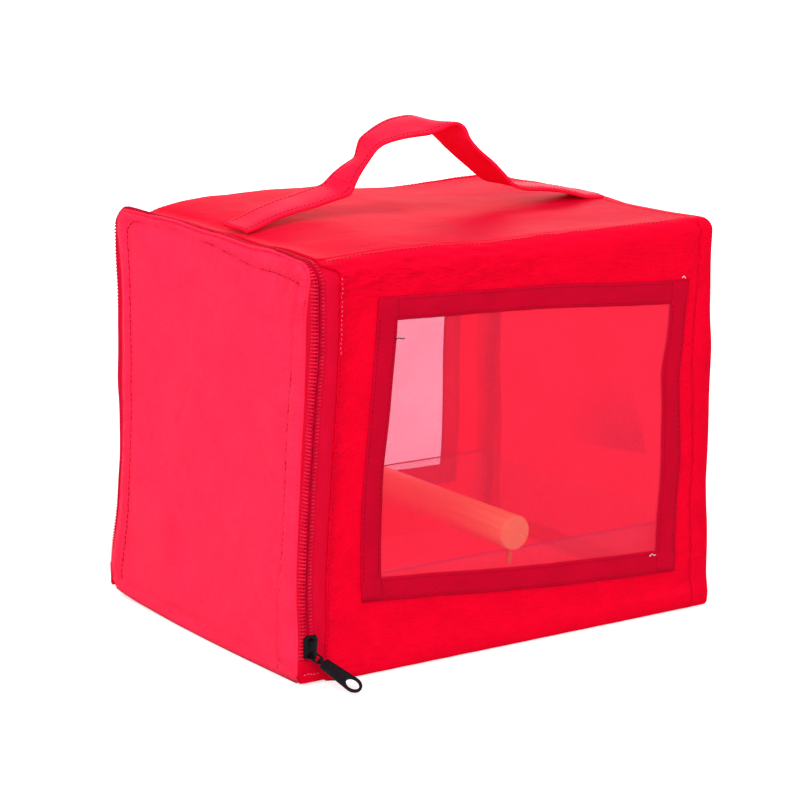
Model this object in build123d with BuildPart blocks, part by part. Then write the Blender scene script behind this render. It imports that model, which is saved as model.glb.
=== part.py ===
"""Bird travel carrier: a zipped fabric box with two mesh windows, a clear tray, a perch and a strap handle.

Millimetres. X runs along the front from the door end to the closed end, Y from the front to the back,
Z up. The origin is the middle of the base, on the surface that the carrier stands on.
"""
from build123d import *
from math import atan2, cos, degrees, radians, sin
import os

os.makedirs("parts", exist_ok=True)

# ---------------------------------------------------------------- driving dimensions

# Box
body_height = 254.0
body_depth = 223.0
base_width = 320.0              # along the front at the bottom
top_width = 308.0               # and at the top: both ends lean inwards a little
fold_radius = 14.0              # soft folds round the top
upright_radius = 4.0            # tighter ones up the two corners of the closed end
base_radius = 6.0               # fold round the bottom

# Fabric, boards and linings
cloth = 1.2
door_cloth = 0.9
lining = 0.8
base_board_thickness = 3.0
wall_board_thickness = 2.0
top_lap = 10.5                  # front and back cloth reach this far over the top
seam_inset = 0.5                # other seams lie this far past the folds, on the flat

# Windows: margins of the front window's opening, from the ends of the narrower of base and top
window_door_margin = 56.5
window_end_margin = 34.5
window_base_margin = 50.25
window_top_margin = 46.25
back_window_shift = 9.0         # the back window sits this much nearer the door
mesh_thickness = 0.5
mesh_hem = 6.0                  # mesh hidden under the binding
binding_width = 14.5
binding_thickness = 0.6

# Door and its zip
zip_middle = 5.2                # chain centre, behind the door's outer face
zip_gap = 1.1                   # between the two coils, where the slider's web runs
coil_width = 2.45
coil_proud = 0.2                # coils stand this far out of the carrier's faces
coil_foot = 15.6                # bottom of the coils, on top of the stops
stop_height = 3.0
zip_tape = 0.6
tape_hem = 4.0                  # tape hidden under the body cloth
fold_edge = 18.6                # body cloth starts here, behind the door's outer face
welt_width = 1.4
welt_seam = 0.1                 # welt reaches this far past the zip tape
hinge_tape_width = 10.0
hinge_tape_thickness = 0.6
hinge_gap = 0.4                 # between the door's cloth and the base cloth, along the fold

# Slider and pull
stop_gap = 1.0                  # slider stands this far above the stop when closed
slider_width = 10.0
slider_nose = 6.5
slider_tail = 7.4
slider_plate = 1.3
slider_nose_width = 7.2
slider_taper = 1.6              # the tail is narrower than the shoulders
slider_corner = 0.9
slider_web = 0.5
slider_web_length = 3.3
crown_width = 1.8
crown_wall = 0.85
crown_setback = 1.5             # crown's foot, behind the nose
crown_rake = 0.5                # crown's front leans back
crown_bend = 1.4                # outer radius of its two corners
crown_hollow_bend = 0.6
wire = 1.2                      # diameter of the link's wire
link_width = 7.4
link_length = 6.7
link_corner = 1.2
pull_length = 35.0              # from the link's bar in the crown to the tip of the tab
pull_flare = 56.6               # the pull stands off the front by this angle
pull_swing = 28.5               # and leans towards the closed end by this one
tab_thickness = 1.6
tab_top_width = 8.6
tab_ring_radius = 6.0
tab_hole_radius = 4.3
tab_barrel_radius = 1.6

# Tray and perch
tray_end_gap = 11.0             # tray to the foot of the box at each end
tray_side_gap = 1.25            # tray to the edge of the base board
tray_height = 53.0
tray_wall = 2.5
perch_radius = 11.0
perch_end_gap = 1.8             # perch to the front and back cloth
perch_x = 2.0
perch_chamfer = 0.8
pin_radius = 1.5
pin_length = 15.0

# Strap handle: sewn down at both ends, with the part between the two leads turned up as the grip
strap_width = 27.0
strap_thickness = 2.2
strap_left_margin = 20.0        # sewn end to the edge of the top, near the door
strap_right_margin = 9.0        # and at the closed end
left_lead = 73.15
right_lead = 76.85
lead_rise = 17.0                # where the leads meet the grip, above the top
grip_rise = 56.0
strap_bend = 3.5

# The strap's line: at each turn, the run from the end named and the rise from the height named
left_lead_turns = ((0.0, 0.0), (11.0, 0.0), (30.0, 7.5))        # sewn end near the door, top
left_leg_turns = ((-3.0, -1.0), (2.0, 2.0), (8.0, 14.0))        # left end of the grip, top of the lead
left_grip_turns = ((26.0, -10.0), (33.0, -3.0), (62.0, 0.0))    # left end of the grip, its crest
right_grip_turns = ((-29.0, -3.0), (-18.0, -11.0))              # right end of the grip, its crest
right_leg_turns = ((-2.0, 2.0), (6.0, -2.0), (32.0, -9.0))      # right end of the grip, top of the lead
right_lead_turns = ((-17.0, 1.0), (-9.0, 0.0), (0.0, 0.0))      # sewn end at the closed end, top

# Running clearances
clearance = 0.3
slider_clearance = 0.3
bore_clearance = 0.1
board_gap = 0.4                 # slider's inner plate to the door board's edge
fold_gap = 0.5                  # zip tapes to the base fold, and the door's inside to the base board
overcut = 1.0                   # tools run this far past the face that they cut

# ---------------------------------------------------------------- worked out

half_depth = body_depth / 2
lean = (base_width - top_width) / 2 / body_height
lean_angle = atan2(lean, 1.0)
across = Vector(cos(lean_angle), 0, -sin(lean_angle))       # into the carrier, square to the door
up_the_door = Vector(sin(lean_angle), 0, cos(lean_angle))
door_height = body_height / cos(lean_angle)
floor_z = cloth + base_board_thickness + lining
rim_z = floor_z + tray_height
base_left = -base_width / 2 + door_cloth + wall_board_thickness + lining + hinge_tape_thickness + fold_gap
base_half = half_depth - base_radius

narrow_width = min(base_width, top_width)
window_width = narrow_width - window_door_margin - window_end_margin
window_height = body_height - window_base_margin - window_top_margin
window_middle_z = (window_base_margin + body_height - window_top_margin) / 2
front_window_x = (window_door_margin - window_end_margin) / 2
back_window_x = front_window_x - back_window_shift

welt_depth = cloth + zip_tape + welt_seam
door_inside = door_cloth + wall_board_thickness + lining
door_foot = cloth + hinge_gap
tape_foot = base_radius + fold_gap
slider_height = coil_foot + stop_gap + slider_tail
door_board_edge = cloth + zip_tape + slider_clearance + slider_plate + board_gap

front_face = Plane(origin=(0, -half_depth, 0), x_dir=(1, 0, 0), z_dir=(0, -1, 0))
back_face = Plane(origin=(0, half_depth, 0), x_dir=(-1, 0, 0), z_dir=(0, 1, 0))
door_face = Plane(origin=(-base_width / 2, 0, 0), x_dir=(0, -1, 0), z_dir=-across)
end_face = Plane(origin=(base_width / 2, 0, 0), x_dir=(0, 1, 0), z_dir=(cos(lean_angle), 0, sin(lean_angle)))
top_face = Plane.XY.offset(body_height)


def body_form(inset):
    """Solid inside the walls' surfaces at a depth of `inset`, running out past the door end."""
    low = inset
    high = body_height - inset
    past_door = -base_width
    right = base_width / 2 - inset / cos(lean_angle)
    with BuildPart() as form:
        with BuildSketch(Plane.XZ):
            with BuildLine():
                Polyline((past_door, low), (right - lean * low, low), (right - lean * high, high),
                         (past_door, high), close=True)
            make_face()
        extrude(amount=half_depth - inset, both=True)
        top_edges = form.faces().sort_by(Axis.Z)[-1].edges()
        fillet(top_edges.filter_by(lambda edge: edge.center().X > past_door + 1), fold_radius - inset)
        uprights = form.edges().filter_by(lambda edge: edge.center().X > right - lean * high - fold_radius)
        between = uprights.filter_by(lambda edge: low + 1 < edge.center().Z < high - fold_radius)
        fillet(between.filter_by(lambda edge: edge.length > body_height / 2), upright_radius - inset)
        base_edges = form.faces().sort_by(Axis.Z)[0].edges()
        fillet(base_edges.filter_by(lambda edge: edge.center().X > past_door + 1), base_radius - inset)
    return form.part


def arch(depth, foot):
    """Face of the door's outline, `depth` inside its edge and standing on `foot`."""
    half = half_depth - depth
    with BuildSketch() as outline:
        with BuildLine():
            FilletPolyline((-half, foot), (-half, door_height - depth), (half, door_height - depth),
                           (half, foot), radius=fold_radius - depth)
            Line((half, foot), (-half, foot))
        make_face()
    return outline.sketch


def arch_band(depth, inner_depth, foot):
    """Band between two depths that runs up the front, over the top and down the back of the door."""
    with BuildSketch() as band:
        add(arch(depth, foot))
        add(arch(inner_depth, foot - overcut), mode=Mode.SUBTRACT)
    return band.sketch


# ---------------------------------------------------------------- box: cloth

outer_form = body_form(0)
inner_form = body_form(cloth)

# The front and back cloth end on planes that run from the base up to the lap on the top.
base_seam = base_radius + seam_inset
front_seam = Plane(origin=(0, base_seam - half_depth, 0), x_dir=(1, 0, 0),
                   z_dir=(0, -body_height, top_lap - base_seam))
back_seam = Plane(origin=(0, half_depth - base_seam, 0), x_dir=(1, 0, 0),
                  z_dir=(0, body_height, top_lap - base_seam))
end_seam = end_face.offset(-fold_radius - seam_inset)
zip_edge = door_face.offset(-fold_edge)

sides = {
    "front": (front_face, front_seam, front_window_x),
    "back": (back_face, back_seam, -back_window_x),
}

for side, (face, seam, window_x) in sides.items():
    with BuildPart() as panel:
        add(outer_form)
        add(inner_form, mode=Mode.SUBTRACT)
        split(bisect_by=seam, keep=Keep.TOP)
        split(bisect_by=end_seam, keep=Keep.BOTTOM)
        split(bisect_by=zip_edge, keep=Keep.BOTTOM)
        with BuildSketch(face):
            with Locations((window_x, window_middle_z)):
                Rectangle(window_width + 2 * mesh_hem, window_height + 2 * mesh_hem)
        extrude(amount=-cloth, mode=Mode.SUBTRACT)
    panel.part.label = f"{side}_panel"
    export_step(panel.part, f"parts/{side}_panel.step")

    with BuildPart() as window_mesh:
        with BuildSketch(face):
            with Locations((window_x, window_middle_z)):
                Rectangle(window_width + 2 * mesh_hem, window_height + 2 * mesh_hem)
        extrude(amount=-mesh_thickness)
    window_mesh.part.label = f"{side}_window_mesh"
    export_step(window_mesh.part, f"parts/{side}_window_mesh.step")

    # Four flat tapes bind the window: the top and bottom ones run through, the side ones butt on them.
    long_tape = (window_width + 2 * binding_width, binding_width)
    short_tape = (binding_width, window_height)
    rise = (window_height + binding_width) / 2
    reach = (window_width + binding_width) / 2
    tapes = {
        "top": (window_x, window_middle_z + rise, long_tape),
        "bottom": (window_x, window_middle_z - rise, long_tape),
        "left": (window_x - reach, window_middle_z, short_tape),
        "right": (window_x + reach, window_middle_z, short_tape),
    }
    for place, (tape_x, tape_z, (tape_length, tape_height)) in tapes.items():
        with BuildPart() as binding:
            with BuildSketch(face):
                with Locations((tape_x, tape_z)):
                    Rectangle(tape_length, tape_height)
            extrude(amount=binding_thickness)
        binding.part.label = f"{side}_binding_{place}"
        export_step(binding.part, f"parts/{side}_binding_{place}.step")

with BuildPart() as top_panel:
    add(outer_form)
    add(inner_form, mode=Mode.SUBTRACT)
    split(bisect_by=front_seam, keep=Keep.BOTTOM)
    split(bisect_by=back_seam, keep=Keep.BOTTOM)
    split(bisect_by=end_seam, keep=Keep.BOTTOM)
    split(bisect_by=zip_edge, keep=Keep.BOTTOM)
    split(bisect_by=Plane.XY.offset(body_height / 2), keep=Keep.TOP)
top_panel.part.label = "top_panel"
export_step(top_panel.part, "parts/top_panel.step")

with BuildPart() as base_panel:
    add(outer_form)
    add(inner_form, mode=Mode.SUBTRACT)
    split(bisect_by=front_seam, keep=Keep.BOTTOM)
    split(bisect_by=back_seam, keep=Keep.BOTTOM)
    split(bisect_by=end_seam, keep=Keep.BOTTOM)
    split(bisect_by=door_face.offset(-hinge_gap), keep=Keep.BOTTOM)
    split(bisect_by=Plane.XY.offset(body_height / 2), keep=Keep.BOTTOM)
base_panel.part.label = "base_panel"
export_step(base_panel.part, "parts/base_panel.step")

with BuildPart() as end_panel:
    add(outer_form)
    add(inner_form, mode=Mode.SUBTRACT)
    split(bisect_by=end_seam, keep=Keep.TOP)
end_panel.part.label = "end_panel"
export_step(end_panel.part, "parts/end_panel.step")

# ---------------------------------------------------------------- box: boards and linings

base_right = base_width / 2 - fold_radius

with BuildPart() as base_board:
    with BuildSketch(Plane.XY.offset(cloth)):
        with Locations(((base_left + base_right) / 2, 0)):
            Rectangle(base_right - base_left, 2 * base_half)
    extrude(amount=base_board_thickness)
base_board.part.label = "base_board"
export_step(base_board.part, "parts/base_board.step")

with BuildPart() as base_lining:
    with BuildSketch(Plane.XY.offset(cloth + base_board_thickness)):
        with Locations(((base_left + base_right) / 2, 0)):
            Rectangle(base_right - base_left, 2 * base_half)
    extrude(amount=lining)
base_lining.part.label = "base_lining"
export_step(base_lining.part, "parts/base_lining.step")

top_left = -top_width / 2 + fold_edge + tape_hem + clearance
top_right = top_width / 2 - fold_radius
top_half = half_depth - fold_radius

with BuildPart() as top_board:
    with BuildSketch(top_face.offset(-cloth)):
        with Locations(((top_left + top_right) / 2, 0)):
            Rectangle(top_right - top_left, 2 * top_half)
    extrude(amount=-wall_board_thickness)
top_board.part.label = "top_board"
export_step(top_board.part, "parts/top_board.step")

with BuildPart() as top_lining:
    with BuildSketch(top_face.offset(-cloth - wall_board_thickness)):
        with Locations(((top_left + top_right) / 2, 0)):
            Rectangle(top_right - top_left, 2 * top_half)
    extrude(amount=-lining)
top_lining.part.label = "top_lining"
export_step(top_lining.part, "parts/top_lining.step")

end_low = fold_radius
end_high = door_height - fold_radius

with BuildPart() as end_board:
    with BuildSketch(end_face.offset(-cloth)):
        with Locations((0, (end_low + end_high) / 2)):
            Rectangle(2 * top_half, end_high - end_low)
    extrude(amount=-wall_board_thickness)
end_board.part.label = "end_board"
export_step(end_board.part, "parts/end_board.step")

with BuildPart() as end_lining:
    with BuildSketch(end_face.offset(-cloth - wall_board_thickness)):
        with Locations((0, (end_low + end_high) / 2)):
            Rectangle(2 * top_half, end_high - end_low)
    extrude(amount=-lining)
end_lining.part.label = "end_lining"
export_step(end_lining.part, "parts/end_lining.step")

# ---------------------------------------------------------------- zip: body side

body_coil_start = zip_middle + zip_gap / 2

with BuildPart() as body_zip_tape:
    with BuildSketch(door_face.offset(-body_coil_start)):
        add(arch_band(cloth, cloth + zip_tape, tape_foot))
    extrude(amount=body_coil_start - fold_edge - tape_hem)
body_zip_tape.part.label = "body_zip_tape"
export_step(body_zip_tape.part, "parts/body_zip_tape.step")

with BuildPart() as body_zip_coil:
    with BuildSketch(door_face.offset(-body_coil_start)):
        add(arch_band(-coil_proud, cloth, coil_foot))
    extrude(amount=-coil_width)
body_zip_coil.part.label = "body_zip_coil"
export_step(body_zip_coil.part, "parts/body_zip_coil.step")

with BuildPart() as zip_stops:
    with BuildSketch(door_face.offset(-body_coil_start)):
        for leg in (-1, 1):
            with Locations((leg * (half_depth - (cloth - coil_proud) / 2), coil_foot - stop_height / 2)):
                Rectangle(cloth + coil_proud, stop_height)
    extrude(amount=-coil_width)
zip_stops.part.label = "zip_stops"
export_step(zip_stops.part, "parts/zip_stops.step")

# ---------------------------------------------------------------- door

with BuildPart() as door_panel:
    with BuildSketch(door_face):
        add(arch(welt_depth, door_foot))
    extrude(amount=-door_cloth)
door_panel.part.label = "door_panel"
export_step(door_panel.part, "parts/door_panel.step")

with BuildPart() as door_welt:
    with BuildSketch(door_face):
        add(arch_band(0, welt_depth, door_foot))
    extrude(amount=-welt_width)
door_welt.part.label = "door_welt"
export_step(door_welt.part, "parts/door_welt.step")

with BuildPart() as door_board:
    with BuildSketch(door_face.offset(-door_cloth)):
        add(arch(door_board_edge, door_foot))
    extrude(amount=-wall_board_thickness)
door_board.part.label = "door_board"
export_step(door_board.part, "parts/door_board.step")

with BuildPart() as door_lining:
    with BuildSketch(door_face.offset(lining - door_inside)):
        add(arch(door_board_edge, door_foot))
    extrude(amount=-lining)
door_lining.part.label = "door_lining"
export_step(door_lining.part, "parts/door_lining.step")

with BuildPart() as door_zip_tape:
    with BuildSketch(door_face.offset(-welt_width)):
        add(arch_band(cloth, cloth + zip_tape, tape_foot))
    extrude(amount=welt_width - zip_middle + zip_gap / 2)
door_zip_tape.part.label = "door_zip_tape"
export_step(door_zip_tape.part, "parts/door_zip_tape.step")

with BuildPart() as door_zip_coil:
    with BuildSketch(door_face.offset(zip_gap / 2 - zip_middle)):
        add(arch_band(-coil_proud, cloth, coil_foot))
    extrude(amount=coil_width)
door_zip_coil.part.label = "door_zip_coil"
export_step(door_zip_coil.part, "parts/door_zip_coil.step")

# The fold between door and base is bound inside by a tape, half on the door and half on the base.
hinge_tape_length = 2 * (base_half - tape_hem)

with BuildPart() as hinge_tape_door:
    with BuildSketch(door_face.offset(-door_inside)):
        with Locations((0, floor_z + hinge_tape_thickness + clearance + hinge_tape_width / 2)):
            Rectangle(hinge_tape_length, hinge_tape_width)
    extrude(amount=-hinge_tape_thickness)
hinge_tape_door.part.label = "hinge_tape_door"
export_step(hinge_tape_door.part, "parts/hinge_tape_door.step")

tray_left = tray_end_gap - base_width / 2
hinge_tape_reach = tray_left - clearance - base_left

with BuildPart() as hinge_tape_base:
    with BuildSketch(Plane.XY.offset(floor_z)):
        with Locations((base_left + hinge_tape_reach / 2, 0)):
            Rectangle(hinge_tape_reach, hinge_tape_length)
    extrude(amount=hinge_tape_thickness)
hinge_tape_base.part.label = "hinge_tape_base"
export_step(hinge_tape_base.part, "parts/hinge_tape_base.step")

# ---------------------------------------------------------------- slider and pull

slider_middle = (Vector(-base_width / 2, -half_depth, 0) + across * zip_middle + up_the_door * slider_height)
leg = Plane(origin=slider_middle, x_dir=across, z_dir=(0, -1, 0))
leg_side = Plane(origin=slider_middle, x_dir=up_the_door, z_dir=across)

plate_low = coil_proud + slider_clearance               # underside of the outer plate
plate_high = plate_low + slider_plate
under_high = -(cloth + zip_tape + slider_clearance)     # outer side of the plate behind the tapes
under_low = under_high - slider_plate
under_width = 2 * (zip_middle - door_cloth - clearance)


def plate_outline(width, nose_width):
    """Face of a slider plate: a blunt nose, wide shoulders and a tail that narrows a little."""
    shoulder = slider_nose - (width - nose_width)
    tail_width = width - slider_taper
    with BuildSketch() as outline:
        with BuildLine():
            Polyline((-nose_width / 2, slider_nose), (nose_width / 2, slider_nose), (width / 2, shoulder),
                     (tail_width / 2, -slider_tail), (-tail_width / 2, -slider_tail), (-width / 2, shoulder),
                     close=True)
        make_face()
        fillet(outline.vertices(), slider_corner)
    return outline.sketch


with BuildPart() as slider_body:
    with BuildSketch(leg.offset(plate_low)):
        add(plate_outline(slider_width, slider_nose_width))
    extrude(amount=slider_plate)
    with BuildSketch(leg.offset(under_low)):
        add(plate_outline(under_width, slider_nose_width - (slider_width - under_width)))
    extrude(amount=slider_plate)
    with BuildSketch(leg.offset(under_high)):
        with Locations((0, slider_nose - slider_web_length / 2)):
            Rectangle(slider_web, slider_web_length)
    extrude(amount=plate_low - under_high)
slider_body.part.label = "slider_body"
export_step(slider_body.part, "parts/slider_body.step")

# The link's bar turns in the crown. It slants, so the crown clears the lower of its two ends.
flare = radians(pull_flare)
swing = radians(pull_swing)
straight_pull = Vector(0, -sin(flare), -cos(flare))
pull_run = Vector(1, 0, 0) * sin(swing) + straight_pull * cos(swing)
bar_line = Vector(1, 0, 0) * cos(swing) - straight_pull * sin(swing)
bar_slope = bar_line.Y / bar_line.X
bar_height = plate_high + bar_line.Y * link_width / 2 + wire / 2 + slider_clearance
crown_inner = bar_height + bar_slope * crown_width / 2 + wire / 2 + slider_clearance
crown_outer = crown_inner + crown_wall
crown_foot = slider_nose - crown_setback
crown_front = crown_foot - crown_rake
crown_hollow = crown_foot - crown_rake - crown_wall
crown_tail = slider_tail - crown_wall
bar_place = crown_tail - slider_clearance - wire

with BuildPart() as slider_crown:
    with BuildSketch(leg_side):
        with BuildLine():
            FilletPolyline((crown_foot, plate_high), (crown_front, crown_outer), (-slider_tail, crown_outer),
                           (-slider_tail, plate_high), radius=crown_bend)
            Line((-slider_tail, plate_high), (crown_foot, plate_high))
        make_face()
        with BuildLine():
            FilletPolyline((crown_hollow, plate_high), (crown_hollow, crown_inner),
                           (-crown_tail, crown_inner), (-crown_tail, plate_high), radius=crown_hollow_bend)
            Line((-crown_tail, plate_high), (crown_hollow, plate_high))
        make_face(mode=Mode.SUBTRACT)
    extrude(amount=crown_width / 2, both=True)
slider_crown.part.label = "slider_crown"
export_step(slider_crown.part, "parts/slider_crown.step")

bar_middle = slider_middle - up_the_door * bar_place + Vector(0, -1, 0) * bar_height
pull = Plane(origin=bar_middle, x_dir=bar_line, z_dir=bar_line.cross(-pull_run))

link_half = (link_width - wire) / 2
link_end = wire - link_length

with BuildPart() as pull_link:
    with BuildLine(pull) as loop:
        FilletPolyline((link_half, 0), (link_half, link_end), (-link_half, link_end), (-link_half, 0),
                       radius=link_corner, close=True)
    loop_start = loop.wires()[0]
    with BuildSketch(Plane(origin=loop_start @ 0, z_dir=loop_start % 0)):
        Circle(wire / 2)
    sweep()
pull_link.part.label = "pull_link"
export_step(pull_link.part, "parts/pull_link.step")

tab_shoulder = link_end - tab_barrel_radius - clearance
ring_middle = tab_ring_radius - pull_length
barrel_width = 2 * (link_half - link_corner - clearance)

with BuildPart() as pull_tab:
    with BuildSketch(pull):
        with BuildLine():
            Polyline((-tab_top_width / 2, tab_shoulder), (tab_top_width / 2, tab_shoulder),
                     (tab_ring_radius, ring_middle), (-tab_ring_radius, ring_middle), close=True)
        make_face()
        with Locations((0, ring_middle)):
            Circle(tab_ring_radius)
        with Locations((0, (link_end + tab_shoulder - overcut) / 2)):
            Rectangle(barrel_width, link_end - tab_shoulder + overcut)
        with Locations((0, ring_middle)):
            Circle(tab_hole_radius, mode=Mode.SUBTRACT)
    extrude(amount=tab_thickness / 2, both=True)
    barrel_plane = Plane(origin=pull.from_local_coords(Vector(0, link_end, 0)), z_dir=bar_line)
    with BuildSketch(barrel_plane):
        Circle(tab_barrel_radius)
    extrude(amount=barrel_width / 2, both=True)
    with BuildSketch(barrel_plane):
        Circle(wire / 2 + bore_clearance)
    extrude(amount=barrel_width, both=True, mode=Mode.SUBTRACT)
pull_tab.part.label = "pull_tab"
export_step(pull_tab.part, "parts/pull_tab.step")

# ---------------------------------------------------------------- tray

tray_length = base_width - 2 * tray_end_gap
tray_width = 2 * (base_half - tray_side_gap)
tray_floor_z = floor_z + tray_wall

with BuildPart() as tray_floor:
    with BuildSketch(Plane.XY.offset(floor_z)):
        Rectangle(tray_length, tray_width)
    extrude(amount=tray_wall)
tray_floor.part.label = "tray_floor"
export_step(tray_floor.part, "parts/tray_floor.step")

perch_z = rim_z + clearance + perch_radius
slot_width = 2 * (pin_radius + clearance)
pin_foot = perch_z - perch_radius / 2 - pin_length
slot_foot = pin_foot - clearance

for name, sign in {"front": -1, "back": 1}.items():
    with BuildPart() as long_wall:
        with BuildSketch(Plane.XY.offset(tray_floor_z)):
            with Locations((0, sign * (tray_width - tray_wall) / 2)):
                Rectangle(tray_length, tray_wall)
        extrude(amount=rim_z - tray_floor_z)
        with BuildSketch(Plane.XY.offset(slot_foot)):
            with Locations((perch_x, sign * (tray_width - tray_wall) / 2)):
                Rectangle(slot_width, 2 * tray_wall)
        extrude(amount=rim_z - slot_foot, mode=Mode.SUBTRACT)
    long_wall.part.label = f"tray_wall_{name}"
    export_step(long_wall.part, f"parts/tray_wall_{name}.step")

for name, sign in {"door": -1, "end": 1}.items():
    with BuildPart() as short_wall:
        with BuildSketch(Plane.XY.offset(tray_floor_z)):
            with Locations((sign * (tray_length - tray_wall) / 2, 0)):
                Rectangle(tray_wall, tray_width - 2 * tray_wall)
        extrude(amount=rim_z - tray_floor_z)
    short_wall.part.label = f"tray_wall_{name}"
    export_step(short_wall.part, f"parts/tray_wall_{name}.step")

# ---------------------------------------------------------------- perch

perch_length = 2 * (half_depth - cloth - perch_end_gap)
pin_y = (tray_width - tray_wall) / 2
pin_places = [(perch_x, -pin_y), (perch_x, pin_y)]

with BuildPart() as perch_dowel:
    with BuildSketch(Plane(origin=(perch_x, 0, perch_z), x_dir=(1, 0, 0), z_dir=(0, -1, 0))):
        Circle(perch_radius)
    extrude(amount=perch_length / 2, both=True)
    chamfer(perch_dowel.edges().filter_by(GeomType.CIRCLE), perch_chamfer)
    with BuildSketch(Plane.XY.offset(pin_foot)):
        with Locations(*pin_places):
            Circle(pin_radius)
    extrude(amount=pin_length, mode=Mode.SUBTRACT)
perch_dowel.part.label = "perch_dowel"
export_step(perch_dowel.part, "parts/perch_dowel.step")

with BuildPart() as perch_pins:
    with BuildSketch(Plane.XY.offset(pin_foot)):
        with Locations(*pin_places):
            Circle(pin_radius)
    extrude(amount=pin_length)
perch_pins.part.label = "perch_pins"
export_step(perch_pins.part, "parts/perch_pins.step")

# ---------------------------------------------------------------- strap handle

seat_z = body_height + strap_thickness / 2
split_z = body_height + lead_rise
grip_z = body_height + grip_rise - strap_thickness / 2
strap_left = strap_left_margin - top_width / 2
strap_right = top_width / 2 - strap_right_margin
arch_left = strap_left + left_lead
arch_right = strap_right - right_lead

strap_stretches = [
    (strap_left, seat_z, left_lead_turns),
    (arch_left, split_z, left_leg_turns),
    (arch_left, grip_z, left_grip_turns),
    (arch_right, grip_z, right_grip_turns),
    (arch_right, split_z, right_leg_turns),
    (strap_right, seat_z, right_lead_turns),
]
strap_line = [(start + run, height + rise) for start, height, turns in strap_stretches for run, rise in turns]

with BuildPart() as strap_form:
    with BuildSketch(Plane.XZ):
        with BuildLine():
            FilletPolyline(*strap_line, radius=strap_bend)
        trace(line_width=strap_thickness)
    extrude(amount=strap_width / 2, both=True)

with BuildPart() as handle_end_left:
    add(strap_form.part)
    split(bisect_by=Plane.YZ.offset(arch_left - clearance), keep=Keep.BOTTOM)
handle_end_left.part.label = "handle_end_left"
export_step(handle_end_left.part, "parts/handle_end_left.step")

with BuildPart() as handle_end_right:
    add(strap_form.part)
    split(bisect_by=Plane.YZ.offset(arch_right + clearance), keep=Keep.TOP)
handle_end_right.part.label = "handle_end_right"
export_step(handle_end_right.part, "parts/handle_end_right.step")

with BuildPart() as handle_arch:
    add(strap_form.part)
    split(bisect_by=Plane.YZ.offset(arch_left), keep=Keep.TOP)
    split(bisect_by=Plane.YZ.offset(arch_right), keep=Keep.BOTTOM)
handle_arch.part.label = "handle_arch"
export_step(handle_arch.part, "parts/handle_arch.step")

print("door hinge at", (-base_width / 2, 0, 0))
print("zip slide along", tuple(up_the_door), "from", tuple(slider_middle))
print("pull flip at", tuple(bar_middle), "about", tuple(bar_line), "pull runs", tuple(pull_run))
print("tab turns at", tuple(pull.from_local_coords(Vector(0, link_end, 0))))
print("handle tilts at height", split_z, "perch at", perch_z, "lean", round(degrees(lean_angle), 4))
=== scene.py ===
"""Looks of the bird travel carrier: soft cloth walls, zipped door, net windows, clear tray, perch and strap.

Everything is modelled in millimetres in the part's own frame and turned to metres when a piece is laid down.
X runs along the front from the door end to the closed end, Y from the front to the back, Z up.
"""
from __future__ import annotations

import logging
import math
from dataclasses import dataclass, replace
from enum import Enum
from functools import partial
from typing import Callable, Sequence

import bmesh
import bpy
import numpy as np
from mathutils import Matrix, Vector

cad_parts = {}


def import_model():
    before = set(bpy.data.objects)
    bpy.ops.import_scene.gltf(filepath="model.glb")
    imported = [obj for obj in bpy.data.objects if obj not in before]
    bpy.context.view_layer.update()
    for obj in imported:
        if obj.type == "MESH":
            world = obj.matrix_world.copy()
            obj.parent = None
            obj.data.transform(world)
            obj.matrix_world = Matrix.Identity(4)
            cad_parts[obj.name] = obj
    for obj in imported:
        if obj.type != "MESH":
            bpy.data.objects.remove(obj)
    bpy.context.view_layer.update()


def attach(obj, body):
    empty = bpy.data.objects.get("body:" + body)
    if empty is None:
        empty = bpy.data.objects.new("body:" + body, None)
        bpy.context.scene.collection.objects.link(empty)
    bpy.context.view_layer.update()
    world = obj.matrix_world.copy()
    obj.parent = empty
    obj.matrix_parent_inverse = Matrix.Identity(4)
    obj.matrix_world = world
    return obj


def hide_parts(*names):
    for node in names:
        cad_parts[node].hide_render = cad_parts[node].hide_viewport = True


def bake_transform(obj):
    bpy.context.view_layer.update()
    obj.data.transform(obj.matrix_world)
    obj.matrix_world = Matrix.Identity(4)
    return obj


log = logging.getLogger("carrier")

MM = 0.001
UV_NAME = "cloth"
CREASE = "crease"
Array = np.ndarray
Pair = tuple[float, float]
Triple = tuple[float, float, float]
BMesh = bmesh.types.BMesh
Material = bpy.types.Material
Piece = bpy.types.Object
Socket = bpy.types.NodeSocket
FlatMap = Callable[[Array, Array], Array]      # of flat places along and across a cloth


# ---------------------------------------------------------------- small mathematics


def linear(hex_colour: str) -> tuple[float, float, float, float]:
    """Turn an sRGB hex colour to linear RGBA.

    Args:
        hex_colour: Six hex digits with a leading hash.

    Returns:
        Linear red, green, blue and an alpha of 1.
    """
    parts = [int(hex_colour[i:i + 2], 16) / 255 for i in (1, 3, 5)]
    red, green, blue = (c / 12.92 if c <= 0.04045 else ((c + 0.055) / 1.055) ** 2.4 for c in parts)
    return red, green, blue, 1.0


def smooth(low: float, high: float, value: Array) -> Array:
    """Ease from 0 at `low` to 1 at `high`; `low` may be the larger of the two."""
    share = np.clip((value - low) / (high - low), 0, 1)
    return share * share * (3 - 2 * share)


def hump(value: Array, middle: float, width: float) -> Array:
    """Return a bell of height 1 round `middle`."""
    return np.exp(-0.5 * ((value - middle) / width) ** 2)


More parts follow.
